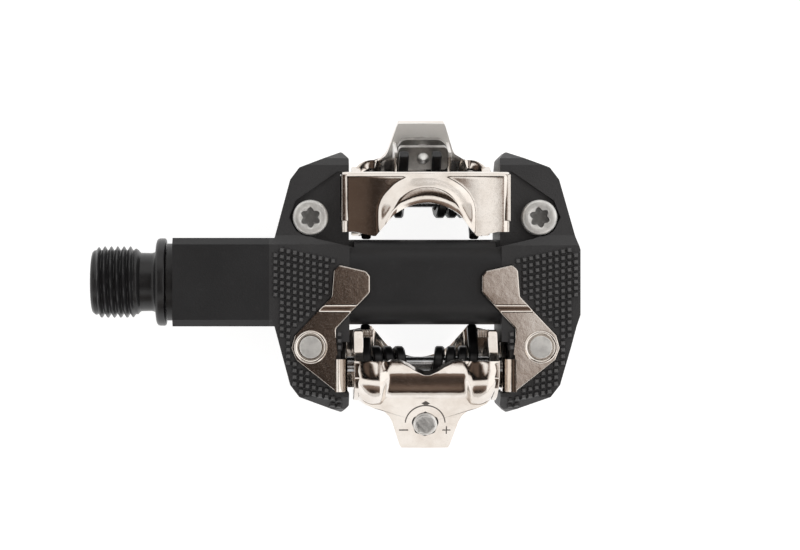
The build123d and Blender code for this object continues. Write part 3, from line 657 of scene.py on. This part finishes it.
def clear_of(x, y, outline, margin):
    for turn in range(8):
        angle = math.pi / 4 * turn
        if inside(x + margin * math.cos(angle), y + margin * math.sin(angle), outline):
            return False
    return True


def grip_z(y):
    """Height of the grip face: level, then falling towards the tip."""
    if y > -GRIP_FALL_Y:
        return GRIP_FACE_Z
    if y > -22.6:
        return GRIP_FACE_Z - 1.5 * (-GRIP_FALL_Y - y) / 9.9
    return 7.0 - 2.6 * (-22.6 - y) / 2.5


GRIP_FIELD = [
    (15.7, 3.7),
    (29.3, 7.2),
    (29.6, 0),
    (29.1, -7.6),
    (26.0, -19.6),
    (24.2, -22.0),
    (17.0, -24.6),
    (15.8, -24.2),
    (15.7, -4.0),
]


def grip_points():
    """Centres of the pyramids on the +X arm, in rows that lean with the arm."""
    across, down = Vector((math.cos(GRIP_LEAN), math.sin(GRIP_LEAN))), Vector((0, -1))
    plate = plate_outline()
    for i in range(-2, 13):
        for j in range(-5, 27):
            x, y = Vector((15.6, 3.6)) + across * i * GRIP_PITCH + down * j * GRIP_PITCH
            if inside(x, y, GRIP_FIELD) and clear_of(x, y, plate, 0.6):
                yield x, y


def make_body():
    bm = merged_copy("pedal_body")
    soften(bm, 0.32, 24, 2)
    for side in (1, -1):
        for x, y in grip_points():
            grip = bmesh.new()
            bmesh.ops.create_cone(
                grip,
                cap_ends=True,
                segments=4,
                radius1=GRIP_PITCH * 0.70,
                radius2=GRIP_PITCH * 0.30,
                depth=GRIP_HEIGHT + 0.2,
            )
            turn = Matrix.Rotation(math.pi / 4 + GRIP_LEAN * 0.5, 4, "Z")
            place = Matrix.Translation((x, y, grip_z(y) + GRIP_HEIGHT / 2 - 0.1))
            grip.transform(place @ turn)
            if side < 0:
                grip.transform(FLIP_SIDE)
            below = grip.copy()
            merge_in(bm, grip)
            merge_in(bm, below, TURN_OVER)
    return finish_piece(
        bm, "body_moulding", "pedal", composite_black, ["pedal_body"]
    )


make_body()

# %% [markdown]
# ## Hook plates
# Each end of the pedal carries one pressed steel part. On one face it rises into the front
# hook, an arch that the nose of the cleat slides under. Its sides go down through the body as
# flanges and spread out on the other face as two wear plates. Pressing leaves round bends
# and an even thickness, so the arch is drawn in columns that follow one height formula and
# come back along the underside. The wear plates are a rounded outline with a tapped boss.

# %% Sheet helpers
SHEET = 1.3
HOOK_SHEET = 1.4
FLANGE_IN = 15.2
FLANGE_OUT = FLANGE_IN + SHEET
BEND_OUT = 2.3
BEND_SPAN = (-15.1, -21.5)
PLATE_TOP = SEAT_Z - 0.8


def ease(value, low, high):
    """0 at low, 1 at high, smooth between."""
    share = min(1.0, max(0.0, (value - low) / (high - low)))
    return share * share * (3 - 2 * share)


def sheet(bm, columns):
    """A surface from columns of points, all with the same count."""
    verts = [[bm.verts.new(point) for point in column] for column in columns]
    strips = []
    for column in verts:
        strips.append([bm.edges.new(pair) for pair in zip(column, column[1:])])
    for first, second in zip(strips, strips[1:]):
        bmesh.ops.bridge_loops(bm, edges=first + second)
    return verts


def face_up(bm):
    """Turns an open sheet so that its faces look up."""
    bmesh.ops.recalc_face_normals(bm, faces=bm.faces)
    if sum(face.normal.z * face.calc_area() for face in bm.faces) < 0:
        bmesh.ops.reverse_faces(bm, faces=bm.faces)


# %% Arch of the front hook
HOOK_FRONT = hook_high.y
HOOK_TOP = hook_high.z
CHEEK_Z = 11.3
FRONT_ROLL, SIDE_ROLL = 1.2, 1.4
MOUTH_HALF, TOE_FROM = 6.5, 9.9


def hook_inner_edge(x):
    """Y of the hook's edge on the cleat's side."""
    x = abs(x)
    if x < MOUTH_HALF:
        return 15.4 - 2.4 * (x / MOUTH_HALF) ** 2
    if x < TOE_FROM:
        return 13.0 - 4.1 * (x - MOUTH_HALF) / (TOE_FROM - MOUTH_HALF)
    return 8.9 + 0.9 * min(1.0, (x - TOE_FROM) / 4.0)


def hook_height(x, y):
    """The cheeks slope out and down; the arch stands above them."""
    side = abs(x)
    cheek = CHEEK_Z - 0.0085 * max(0.0, side - 7.0) ** 2 - 0.03 * (HOOK_FRONT - y)
    past = math.hypot(x / 9.5, max(0.0, y - 13.6) / 7.6)
    ramp = min(1.0, max(0.0, (0.98 - past) / 0.34))
    crown = 0.72 * ramp + 0.28 * ease(ramp, 0.0, 1.0)
    lean = 0.05 * max(0.0, y - 15.5)
    droop = 0.16 * max(0.0, 2.4 - (y - hook_inner_edge(x))) ** 2
    return cheek + (HOOK_TOP - cheek - lean - droop) * crown


def hook_column(x):
    """Points of one column with the way out of the sheet at each of them."""
    inner, last = hook_inner_edge(x), HOOK_FRONT - 1.45
    column = []
    for i in range(26):
        y = inner + (last - inner) * i / 25
        column.append((Vector((x, y, hook_height(x, y))), 0.0))
    edge = column[-1][0]
    for angle in (20, 40, 60, 80, 90):
        bend = math.radians(angle)
        over = FRONT_ROLL * Vector((0, math.sin(bend), math.cos(bend) - 1))
        column.append((edge + over, bend))
    column.append((column[-1][0] - Vector((0, 0, 0.9)), bend))
    return column


def hook_ring(column, side, out, drop, lean):
    """The column and its underside as one closed ring."""
    top, under = [], []
    for point, bend in column:
        away = Vector((side * math.sin(lean), math.sin(bend), math.cos(lean) * math.cos(bend)))
        moved = point + Vector((side * out, 0, -drop))
        top.append(moved)
        under.append(moved - away.normalized() * HOOK_SHEET)
    return top + under[::-1]


def rolled_side(column, side):
    """An outer column rolled down towards the flange, and its foot."""
    rings = []
    for degrees in (22, 45, 68, 90):
        lean = math.radians(degrees)
        out, drop = SIDE_ROLL * math.sin(lean), SIDE_ROLL * (1 - math.cos(lean))
        rings.append(hook_ring(column, side, out, drop, lean))
    return rings + [hook_ring(column, side, SIDE_ROLL, SIDE_ROLL + 0.6, math.pi / 2)]


def hook_arch(bm):
    part = bmesh.new()
    half = FLANGE_OUT - SIDE_ROLL
    columns = [hook_column(half * i / 40) for i in range(-40, 41)]
    rings = rolled_side(columns[0], -1)[::-1]
    rings += [hook_ring(column, 1, 0, 0, 0) for column in columns]
    rings += rolled_side(columns[-1], 1)
    skin(part, rings)
    soften(part, 0.2, 50, 2)
    merge_in(bm, part)


# %% Flanges and rolled bends
def side_plate(bm, outline, x_in, x_out, rim=0.25):
    """An upright plate, its outline in Y and Z."""
    part = bmesh.new()
    verts = [part.verts.new((x_out, y, z)) for y, z in outline]
    bmesh.ops.contextual_create(part, geom=verts)
    made = bmesh.ops.extrude_face_region(part, geom=part.faces[:])
    inner = [v for v in made["geom"] if isinstance(v, bmesh.types.BMVert)]
    bmesh.ops.translate(part, verts=inner, vec=(x_in - x_out, 0, 0))
    soften(part, rim, 20, 2)
    merge_in(bm, part)


def rolled_bend(bm, y_in, y_out):
    """Quarter bend from the wear plate down into the flange, on the +X side."""
    outer, inner = BEND_OUT, BEND_OUT - SHEET
    centre_x, centre_z = FLANGE_IN + outer, PLATE_TOP - outer
    part = bmesh.new()
    turns = [math.radians(90 + 10 * i) for i in range(10)]
    edge = [(centre_x + outer * math.cos(a), centre_z + outer * math.sin(a)) for a in turns]
    back = [(centre_x + inner * math.cos(a), centre_z + inner * math.sin(a)) for a in turns]
    section = [(centre_x + 0.3, PLATE_TOP), *edge, (FLANGE_IN, centre_z - 3.0)]
    section += [(FLANGE_OUT, centre_z - 3.0), *reversed(back), (centre_x + 0.3, PLATE_TOP - SHEET)]
    skin(part, [[Vector((x, y, z)) for x, z in section] for y in (y_in, y_out)])
    soften(part, 0.25, 50, 2)
    merge_in(bm, part)


def flange(bm):
    """Upright flange of the upper plate, at the hook end."""
    outline = [
        (11.85, CHEEK_Z - 0.8),
        (HOOK_FRONT - 0.7, CHEEK_Z - 0.8),
        (HOOK_FRONT - 0.7, 0),
        (21.2, -3.0),
        (21.2, -PLATE_TOP + 3.4),
        (15.1, -PLATE_TOP + 3.4),
        (15.1, -4.2),
        (11.85, -2.4),
    ]
    side_plate(bm, outline, FLANGE_IN, FLANGE_OUT)


# %% Wear plates
BEND_EDGE = FLANGE_IN + BEND_OUT
CREASE = (-6.0, -4.3)


def wear_plate(bm):
    """One wear plate on the +X side of the upper face, with its raised tab."""
    part = bmesh.new()
    outline = [(x, y) for x, y in plate_outline() if (x, y) not in ((15.2, -21.6), (15.2, -15.1))]
    outline = [(BEND_EDGE, y) if x in (16.4, 16.8) else (x, y) for x, y in outline]
    plan = rounded(outline[::-1], 0.8)
    rims = []
    for inset, z in ((0.12, -SHEET), (0, 0.12 - SHEET), (0, -0.3), (0.09, -0.09), (0.3, 0)):
        rims.append([Vector((*p, PLATE_TOP + z)) for p in drawn_in(plan, inset)])
    skin(part, rims)
    for i in range(9):
        bmesh.ops.bisect_plane(
            part,
            geom=part.verts[:] + part.edges[:] + part.faces[:],
            plane_co=(0, CREASE[0] + (CREASE[1] - CREASE[0]) * i / 8, 0),
            plane_no=(0, 1, 0),
        )
    for vert in part.verts:
        vert.co.z += 0.8 * ease(vert.co.y, *CREASE)
    merge_in(bm, part)
    boss = bmesh.new()

    def at(z):
        return lambda u, v: Vector((SCREW_X + u, -SCREW_Y + v, z))

    shape = [(3.0, -2.4), (3.3, -2.2), (3.3, 0.12), (3.2, 0.32), (3.0, 0.45), (2.8, 0.42)]
    shape += [(2.5, 0.2), (2.3, -0.1), (2.22, -0.4), (2.22, -2.4), (3.0, -2.4)]
    skin(boss, [circle_points(r, 48, at(PLATE_TOP + z)) for r, z in shape], (False, False))
    merge_in(bm, boss)


def make_hook_plate():
    bm = bmesh.new()
    hook_arch(bm)
    for side in (1, -1):
        part = bmesh.new()
        wear_plate(part)
        rolled_bend(part, *BEND_SPAN)
        part.transform(TURN_OVER)
        flange(part)
        if side < 0:
            part.transform(FLIP_SIDE)
        merge_in(bm, part)
    return finish_piece(
        bm, "hook_plate_upper", "pedal", nickel_plate, ["upper_hook_plate"]
    )


hook_plate = make_hook_plate()
turned_over(hook_plate, "hook_plate_lower", "pedal", ["lower_hook_plate"])

# %% [markdown]
# ## Claws
# The rear claw is pressed from thicker sheet. Its lip leans over the tail of the cleat, two
# round pillars stiffen its corners, and a flat tongue behind it carries the adjusting screw.
# The lip, pillars and back are one surface with a profile that changes across the width. The
# side walls and the tongue are plates that run into it.

# %% Back and lip of the claw
CLAW_HALF = claw_high.x - MIDDLE
CLAW_SHEET = 1.7
PILLAR_IN = 7.9
LIP_Y = -15.3
DIP_HALF, DIP_DEPTH = 5.8, 2.7
CORNER_ROUND = 4.2


def claw_profile(x):
    """Points (y, z) from the lip to the foot, for one place across the claw."""
    side = abs(x)
    pillar = ease(side, PILLAR_IN - 0.8, PILLAR_IN + 1.0)
    centre = [
        (LIP_Y, 13.57),
        (-16.3, 13.32),
        (-17.3, 12.98),
        (-18.1, 12.6),
        (-19.9, 11.4),
        (-21.4, 10.5),
        (-22.3, 9.7),
        (-22.9, 9.0),
    ]
    bulge = 0.7 * ((side - 10.7) / 3.2) ** 2
    corner = [
        (LIP_Y, 13.53),
        (-17.6, 13.57),
        (-19.6, 13.2),
        (-21.4, 12.2),
        (-22.9, 10.8),
        (-23.9, 9.1),
        (-24.5, 7.2),
        (-24.7, 5.2),
    ]
    corner = [(y, z - bulge) for y, z in corner]
    return [
        (a[0] + (b[0] - a[0]) * pillar, a[1] + (b[1] - a[1]) * pillar)
        for a, b in zip(centre, corner)
    ]


def smooth_chain(points, count):
    """Catmull-Rom curve through the points, sampled evenly."""
    chain = [points[0], *points, points[-1]]
    made = []
    for i in range(count):
        t = i / (count - 1) * (len(points) - 1)
        k = min(int(t), len(points) - 2)
        u = t - k
        p0, p1, p2, p3 = (Vector(chain[k + j]) for j in range(4))
        made.append(
            0.5
            * (
                2 * p1
                + (p2 - p0) * u
                + (2 * p0 - 5 * p1 + 4 * p2 - p3) * u * u
                + (3 * p1 - p0 - 3 * p2 + p3) * u * u * u
            )
        )
    return made


def claw_column(x):
    """One column of the back: corners round in plan, and the lip dips in the middle."""
    count = 24
    curve = smooth_chain(claw_profile(x), 60)
    dip = DIP_DEPTH * (1 - ease(abs(x), 0.0, DIP_HALF))
    start = next(i for i, p in enumerate(curve) if p.x <= LIP_Y - dip)
    column = []
    round_in = max(0.0, abs(x) - (CLAW_HALF - CORNER_ROUND)) / CORNER_ROUND
    pull = CORNER_ROUND * (1 - math.sqrt(max(0.0, 1 - round_in**2)))
    for i in range(count):
        p = curve[start + round((59 - start) * i / (count - 1))]
        depth = (LIP_Y - p.x) / 9.3
        column.append(Vector((x, min(LIP_Y, p.x + pull * max(0.0, depth)), p.y)))
    return column


def claw_back(bm):
    part = bmesh.new()
    steps = 44
    xs = [CLAW_HALF * math.sin(math.pi / 2 * i / steps) for i in range(-steps, steps + 1)]
    sheet(part, [claw_column(x) for x in xs])
    face_up(part)
    bmesh.ops.solidify(part, geom=part.faces[:], thickness=CLAW_SHEET)
    soften(part, 0.2, 50, 2)
    merge_in(bm, part)


# %% Side walls, tongue and rails of the claw
TONGUE_TURN = Matrix.Translation(TONGUE_SPOT) @ Matrix.Rotation(TILT, 4, "X")
SCREW_HEAD_RADIUS = 2.38
TONGUE_THICK = 2.0
EAR_RADIUS = 3.4
RIDGE_PITCH = 0.48


def claw_side(bm):
    turns = [math.radians(-28 - 10.4 * i) for i in range(13)]
    outline = [(PIVOT_Y + EAR_RADIUS * math.cos(a), EAR_RADIUS * math.sin(a)) for a in turns]
    outline += [
        (-22.6, 3.6),
        (-23.4, 5.4),
        (-22.6, 8.6),
        (-20.8, 11.4),
        (-18.6, 13.0),
        (-15.5, 13.2),
        (-14.6, 11.4),
        (-13.6, 10.0),
        (-9.9, 8.7),
        (-9.35, 8.2),
        (-9.35, 6.2),
        (-9.7, 5.4),
    ]
    side_plate(bm, outline, CLAW_HALF - 1.9, CLAW_HALF, 0.35)
    for i in range(5):
        ridge = bmesh.new()
        bmesh.ops.create_cube(ridge, size=1)
        bmesh.ops.scale(ridge, verts=ridge.verts, vec=(0.42, 1.5, 1.4))
        place = (10.5 + RIDGE_PITCH * i, -10.05, 6.9 - 0.1 * (i % 2))
        bmesh.ops.translate(ridge, verts=ridge.verts, vec=place)
        soften(ridge, 0.1, 30, 1)
        merge_in(bm, ridge)


def tongue(bm):
    def along(y):
        return (y - TONGUE_SPOT.y) / math.cos(TILT)

    right = [
        (0.0, along(-21.4)),
        (11.6, along(-21.4)),
        (12.6, along(-22.8)),
        (11.9, along(-23.8)),
        (10.4, along(-24.6)),
        (9.0, along(-24.9)),
        (8.0, along(-25.4)),
        (7.1, along(-26.3)),
        (6.5, along(-27.4)),
        (4.95, along(-32.05)),
        (4.6, along(-32.63)),
        (0.0, along(-32.68)),
    ]
    outline = right + [(-x, y) for x, y in reversed(right[1:-1])]
    part = bmesh.new()
    radius = SCREW_HEAD_RADIUS + 0.26
    angles = [math.atan2(y, x) for x, y in outline]
    rings = []
    low = -TONGUE_THICK
    for z, hole in ((0, False), (0, True), (low, True), (low, False), (0, False)):
        if hole:
            rings.append([Vector((radius * math.cos(a), radius * math.sin(a), z)) for a in angles])
        else:
            rings.append([Vector((x, y, z)) for x, y in outline])
    skin(part, rings, (False, False))
    bmesh.ops.remove_doubles(part, verts=part.verts, dist=0.001)
    soften(part, 0.28, 40, 2)
    for side in (-1, 1):
        rail = bmesh.new()
        bmesh.ops.create_cube(rail, size=1)
        bmesh.ops.scale(rail, verts=rail.verts, vec=(0.7, 5.6, 8.4))
        bmesh.ops.translate(rail, verts=rail.verts, vec=(side * 5.35, 1.6, -4.8))
        soften(rail, 0.15, 30, 2)
        merge_in(part, rail)
    merge_in(bm, part, TONGUE_TURN)


def tongue_marks(turned):
    """Shallow stamped marks round the adjusting screw: an arc with an arrow, - and +."""

    def cut(finish):
        x, y = finish.axes()[:2]
        u = x - MIDDLE
        v = ((y * -1 if turned else y) - TONGUE_SPOT.y) / math.cos(TILT)
        top = 1 - tongue_back_painted_pale(finish)
        radius = (u * u + v * v).power(0.5)
        arc = (radius - 3.9).size().step(0.15, 0.07) * v.step(0.2, 0.5)
        head = ((v - 4.35).size() + u.size() * 0.6).step(0.55, 0.45) * (v - 4.0).step(0, 0.1)
        minus = (u + 4.2).size().step(0.95, 0.85) * (v + 1.35).size().step(0.16, 0.09)
        plus_bar = (u - 4.2).size().step(0.85, 0.75) * (v + 1.35).size().step(0.14, 0.08)
        plus_post = (u - 4.2).size().step(0.14, 0.08) * (v + 1.35).size().step(0.85, 0.75)
        plate = v.step(5.6, 5.4) * v.step(-5.2, -5.0) * u.size().step(6.6, 6.4)
        return arc.most(head).most(minus).most(plus_bar).most(plus_post) * plate * top

    return cut


def make_claw():
    bm = bmesh.new()
    claw_back(bm)
    for side in (1, -1):
        part = bmesh.new()
        claw_side(part)
        if side < 0:
            part.transform(FLIP_SIDE)
        merge_in(bm, part)
    tongue(bm)
    finish = nickel("claw_nickel_upper", tongue_marks(False))
    return finish_piece(bm, "claw_upper", "upper_claw", finish, ["upper_claw"])


claw = make_claw()
turned_over(
    claw,
    "claw_lower",
    "lower_claw",
    ["lower_claw"],
    nickel("claw_nickel_lower", tongue_marks(True)),
)

# %% [markdown]
# ## Springs
# Each claw has two springs wound from wire that is rolled nearly square, so that the coils
# stand against each other. A section is carried along the wire: a straight leg to the tube,
# the coil round the pivot shaft, and a straight leg to the tension plate.

# %% Wind the springs
WIRE = 1.9
COIL_DIA, TURNS = 7.3, 3
LEG_ANGLES = (50.0, 131.77)
LEG_LENGTHS = (7.354, 9.6)


def wire_path(outer, inner):
    """Centre line of one spring and the way out of the coil at each point."""
    coil_radius = (COIL_DIA - WIRE) / 2
    way = 1 if inner > outer else -1
    start, end = outer + way * WIRE / 2, inner - way * WIRE / 2
    first, last = LEG_ANGLES
    sweep = TURNS * 360 + last - first
    path = []
    for i in range(8):
        back = LEG_LENGTHS[0] * (1 - i / 8)
        a = math.radians(first)
        path.append((start, a, back, -1))
    steps = 132
    for i in range(steps + 1):
        share = i / steps
        path.append((start + (end - start) * share, math.radians(first + sweep * share), 0, 0))
    for i in range(1, 9):
        path.append((end, math.radians(last), LEG_LENGTHS[1] * i / 8, 1))
    rings = []
    half = WIRE / 2
    for x, a, reach, sign in path:
        radial = Vector((0, math.cos(a), math.sin(a)))
        tangent = Vector((0, -math.sin(a), math.cos(a)))
        centre = Vector((x, PIVOT_Y, 0)) + radial * coil_radius + tangent * reach * sign
        points = []
        for k in range(16):
            t = 2 * math.pi * k / 16 + math.pi / 16
            c, s = math.cos(t), math.sin(t)
            bulge = (abs(c) ** 5 + abs(s) ** 5) ** (-1 / 5)
            points.append(centre + Vector((half * bulge * c, 0, 0)) + radial * half * bulge * s)
        rings.append(points)
    return rings


def make_spring(end_name, outer, inner):
    bm = bmesh.new()
    skin(bm, wire_path(outer, inner))
    soften(bm, 0.2, 60, 2)
    node = f"upper_{end_name}_spring"
    spring = finish_piece(
        bm, f"spring_upper_{end_name}", "pedal", spring_steel, [node]
    )
    turned_over(
        spring,
        f"spring_lower_{end_name}",
        "pedal",
        [f"lower_{end_name}_spring"],
    )


for end_name, turn in (("inboard", 1), ("outboard", -1)):
    low, high = box_mm(f"upper_{end_name}_spring")
    ends = (low.x - MIDDLE, high.x - MIDDLE)
    make_spring(end_name, *ends[::turn])

# %% [markdown]
# ## Screws
# A recess is a ring of the head's own count of points, pulled into a star or a hexagon and
# pushed down. That keeps the head a clean set of walls with no cutting.

# %% Plate screws with a six-lobed recess
SCREW_AROUND = 72
STAR_ACROSS, HEAD_RADIUS, HEAD_HEIGHT, SHANK_RADIUS = 3.9, 3.5, 2.2, 2.2


def star_radius(angle):
    """Radius of a six-lobed recess."""
    wave = 0.5 + 0.5 * math.cos(6 * angle)
    return STAR_ACROSS / 2 * (0.72 + 0.28 * wave**0.8)


def upright_ring(x, y, z, radius_at):
    points = []
    for i in range(SCREW_AROUND):
        a = 2 * math.pi * i / SCREW_AROUND
        r = radius_at(a)
        points.append(Vector((x + r * math.cos(a), y + r * math.sin(a), z)))
    return points


def plate_screw(bm, x, y, phase):
    low, high = box_mm("upper_plate_screws")
    top = high.z
    head = HEAD_RADIUS
    plain = [
        (SHANK_RADIUS - 0.2, low.z),
        (SHANK_RADIUS, low.z + 0.22),
        (SHANK_RADIUS, top - HEAD_HEIGHT),
        (head - 0.05, top - HEAD_HEIGHT),
        (head, top - 2.1),
        (head, top - 0.55),
        (head - 0.1, top - 0.3),
        (head - 0.32, top - 0.1),
        (head - 0.6, top - 0.02),
        (2.35, top),
        (2.2, top - 0.04),
    ]
    rings = [upright_ring(x, y, z, lambda a, r=r: r) for r, z in plain]
    for grow, z in ((1.06, top - 0.16), (1.0, top - 0.3), (0.97, top - 1.25), (0.55, top - 1.5)):
        rings.append(upright_ring(x, y, z, lambda a, g=grow: star_radius(a + phase) * g))
    skin(bm, rings)


def make_plate_screws():
    bm = bmesh.new()
    plate_screw(bm, SCREW_X, SCREW_Y, 0.35)
    plate_screw(bm, -SCREW_X, SCREW_Y, 0.5)
    screws = finish_piece(
        bm, "plate_screws_upper", "pedal", star_zinc, ["upper_plate_screws"]
    )
    turned_over(screws, "plate_screws_lower", "pedal", ["lower_plate_screws"])


make_plate_screws()


# %% Adjusting screws with a hexagon socket
def hexagon(angle, across):
    side = angle % (math.pi / 3) - math.pi / 6
    return across / 2 / math.cos(side)


def make_adjusting_screw():
    bm = bmesh.new()
    head = SCREW_HEAD_RADIUS
    plain = [
        (0.2, -10.85),
        (1.1, -9.5),
        (1.2, -9.3),
        (1.2, -7.65),
        (1.95, -7.6),
        (1.95, -1.95),
        (head - 0.1, -1.9),
        (head, -1.8),
        (head, 0.15),
        (head - 0.1, 0.35),
        (head - 0.3, 0.48),
        (head - 0.5, 0.5),
    ]
    rings = [upright_ring(0, 0, z, lambda a, r=r: r) for r, z in plain]
    for across, z in ((3.35, 0.5), (3.0, 0.3), (3.0, -1.5), (1.2, -2.0)):
        rings.append(upright_ring(0, 0, z, lambda a, w=across: hexagon(a + 0.26, w)))
    skin(bm, rings)
    bm.transform(TONGUE_TURN)
    screw = finish_piece(
        bm,
        "adjusting_screw_upper",
        "upper_adjuster",
        socket_zinc,
        ["upper_adjusting_screw"],
    )
    turned_over(
        screw, "adjusting_screw_lower", "lower_adjuster", ["lower_adjusting_screw"]
    )


make_adjusting_screw()

# %% [markdown]
# ## Table, light and camera
# The pedal lies flat on a pale lit table, seen straight from above. The light is a wide soft
# box with darker gaps, because polished metal shows only what it mirrors: without dark gaps
# it would look like white plastic.


# %% Pale table
def make_table():
    bm = bmesh.new()
    bmesh.ops.create_grid(bm, x_segments=1, y_segments=1, size=1.5)
    bmesh.ops.translate(bm, verts=bm.verts, vec=(MIDDLE * MM, 0, cad_box[0].z - 0.0002))
    mesh = bpy.data.meshes.new("table")
    bm.to_mesh(mesh)
    bm.free()
    table = bpy.data.objects.new("table", mesh)
    bpy.context.scene.collection.objects.link(table)
    finish = Finish("table_white", Roughness=0.6, Emission_Strength=0.88)
    finish.shader.inputs["Base Color"].default_value = (0.34, 0.34, 0.34, 1)
    finish.shader.inputs["Emission Color"].default_value = (1, 1, 1, 1)
    mesh.materials.append(finish.material)


make_table()


# %% Soft light with darker gaps
def make_light():
    world = bpy.data.worlds.new("studio")
    bpy.context.scene.world = world
    world.use_nodes = True
    nodes, links = world.node_tree.nodes, world.node_tree.links
    nodes.clear()
    room = Finish("room_maths")
    background = nodes.new("ShaderNodeBackground")
    output = nodes.new("ShaderNodeOutputWorld")
    links.new(background.outputs[0], output.inputs[0])
    room.tree = world.node_tree
    direction = room.node("ShaderNodeTexCoord", None, output=0)
    split = nodes.new("ShaderNodeSeparateXYZ")
    links.new(direction.socket, split.inputs[0])
    x, y, z = [Socket(room, out) for out in split.outputs]
    out = (x * x + y * y).power(0.5)
    above = z.step(0.0, 0.05)
    front = (0 - y).step(0.46, 0.56) * (1 - (0 - y).step(0.74, 0.82))
    low_front = (0 - y).step(0.6, 0.7) * (1 - (0 - y).step(0.84, 0.985))
    right = x.step(0.38, 0.50) * (1 - x.step(0.93, 0.98))
    left = (0 - x).step(0.50, 0.60) * (1 - (0 - x).step(0.92, 0.98))
    back = y.step(0.50, 0.60) * (1 - y.step(0.96, 0.99))
    boxes = (front * 1.15).most(right * 1.3).most(left * 1.05).most(back * 1.1)
    boxes = boxes.most(low_front * 0.24) * above
    # straight above, the room is dark on one side and light on the other
    clutter = room.noise(0.055 / MM, 2.0, 0.6, direction)
    slope = (x + y * 0.5 + (clutter - 0.5) * 0.13).step(-0.01, 0.22)
    shelf = (0 - x).step(0.06, 0.14) * clutter * 0.14
    overhead = (0.03 + slope.power(1.5) * 1.1 + shelf) * (1 - out.step(0.30, 0.44))
    horizon = out.step(0.972, 0.99) * 0.8
    level = boxes.most(overhead).most(horizon)
    warm = room.mix(level.step(0.05, 0.85), (1.0, 0.70, 0.54), (1.0, 0.98, 0.955))
    links.new(warm.socket, background.inputs[0])
    links.new(level.socket, background.inputs[1])
    bpy.data.materials.remove(room.material)


make_light()

# %% Camera straight above
CAMERA_HEIGHT = 400.0
VIEW_WIDTH = 160.0
CAMERA_LEFT = 28.0


def make_camera():
    data = bpy.data.cameras.new("camera")
    data.sensor_width = 36.0
    data.lens = 36.0 * CAMERA_HEIGHT / VIEW_WIDTH
    camera = bpy.data.objects.new("camera", data)
    bpy.context.scene.collection.objects.link(camera)
    camera.location = Vector((MIDDLE - CAMERA_LEFT, 1.4, CAMERA_HEIGHT)) * MM
    data.shift_x = (CAMERA_LEFT - 4.5) / VIEW_WIDTH
    bpy.context.scene.camera = camera
    data.clip_start, data.clip_end = 0.01, 10.0


make_camera()
bpy.context.scene.view_settings.view_transform = "Standard"
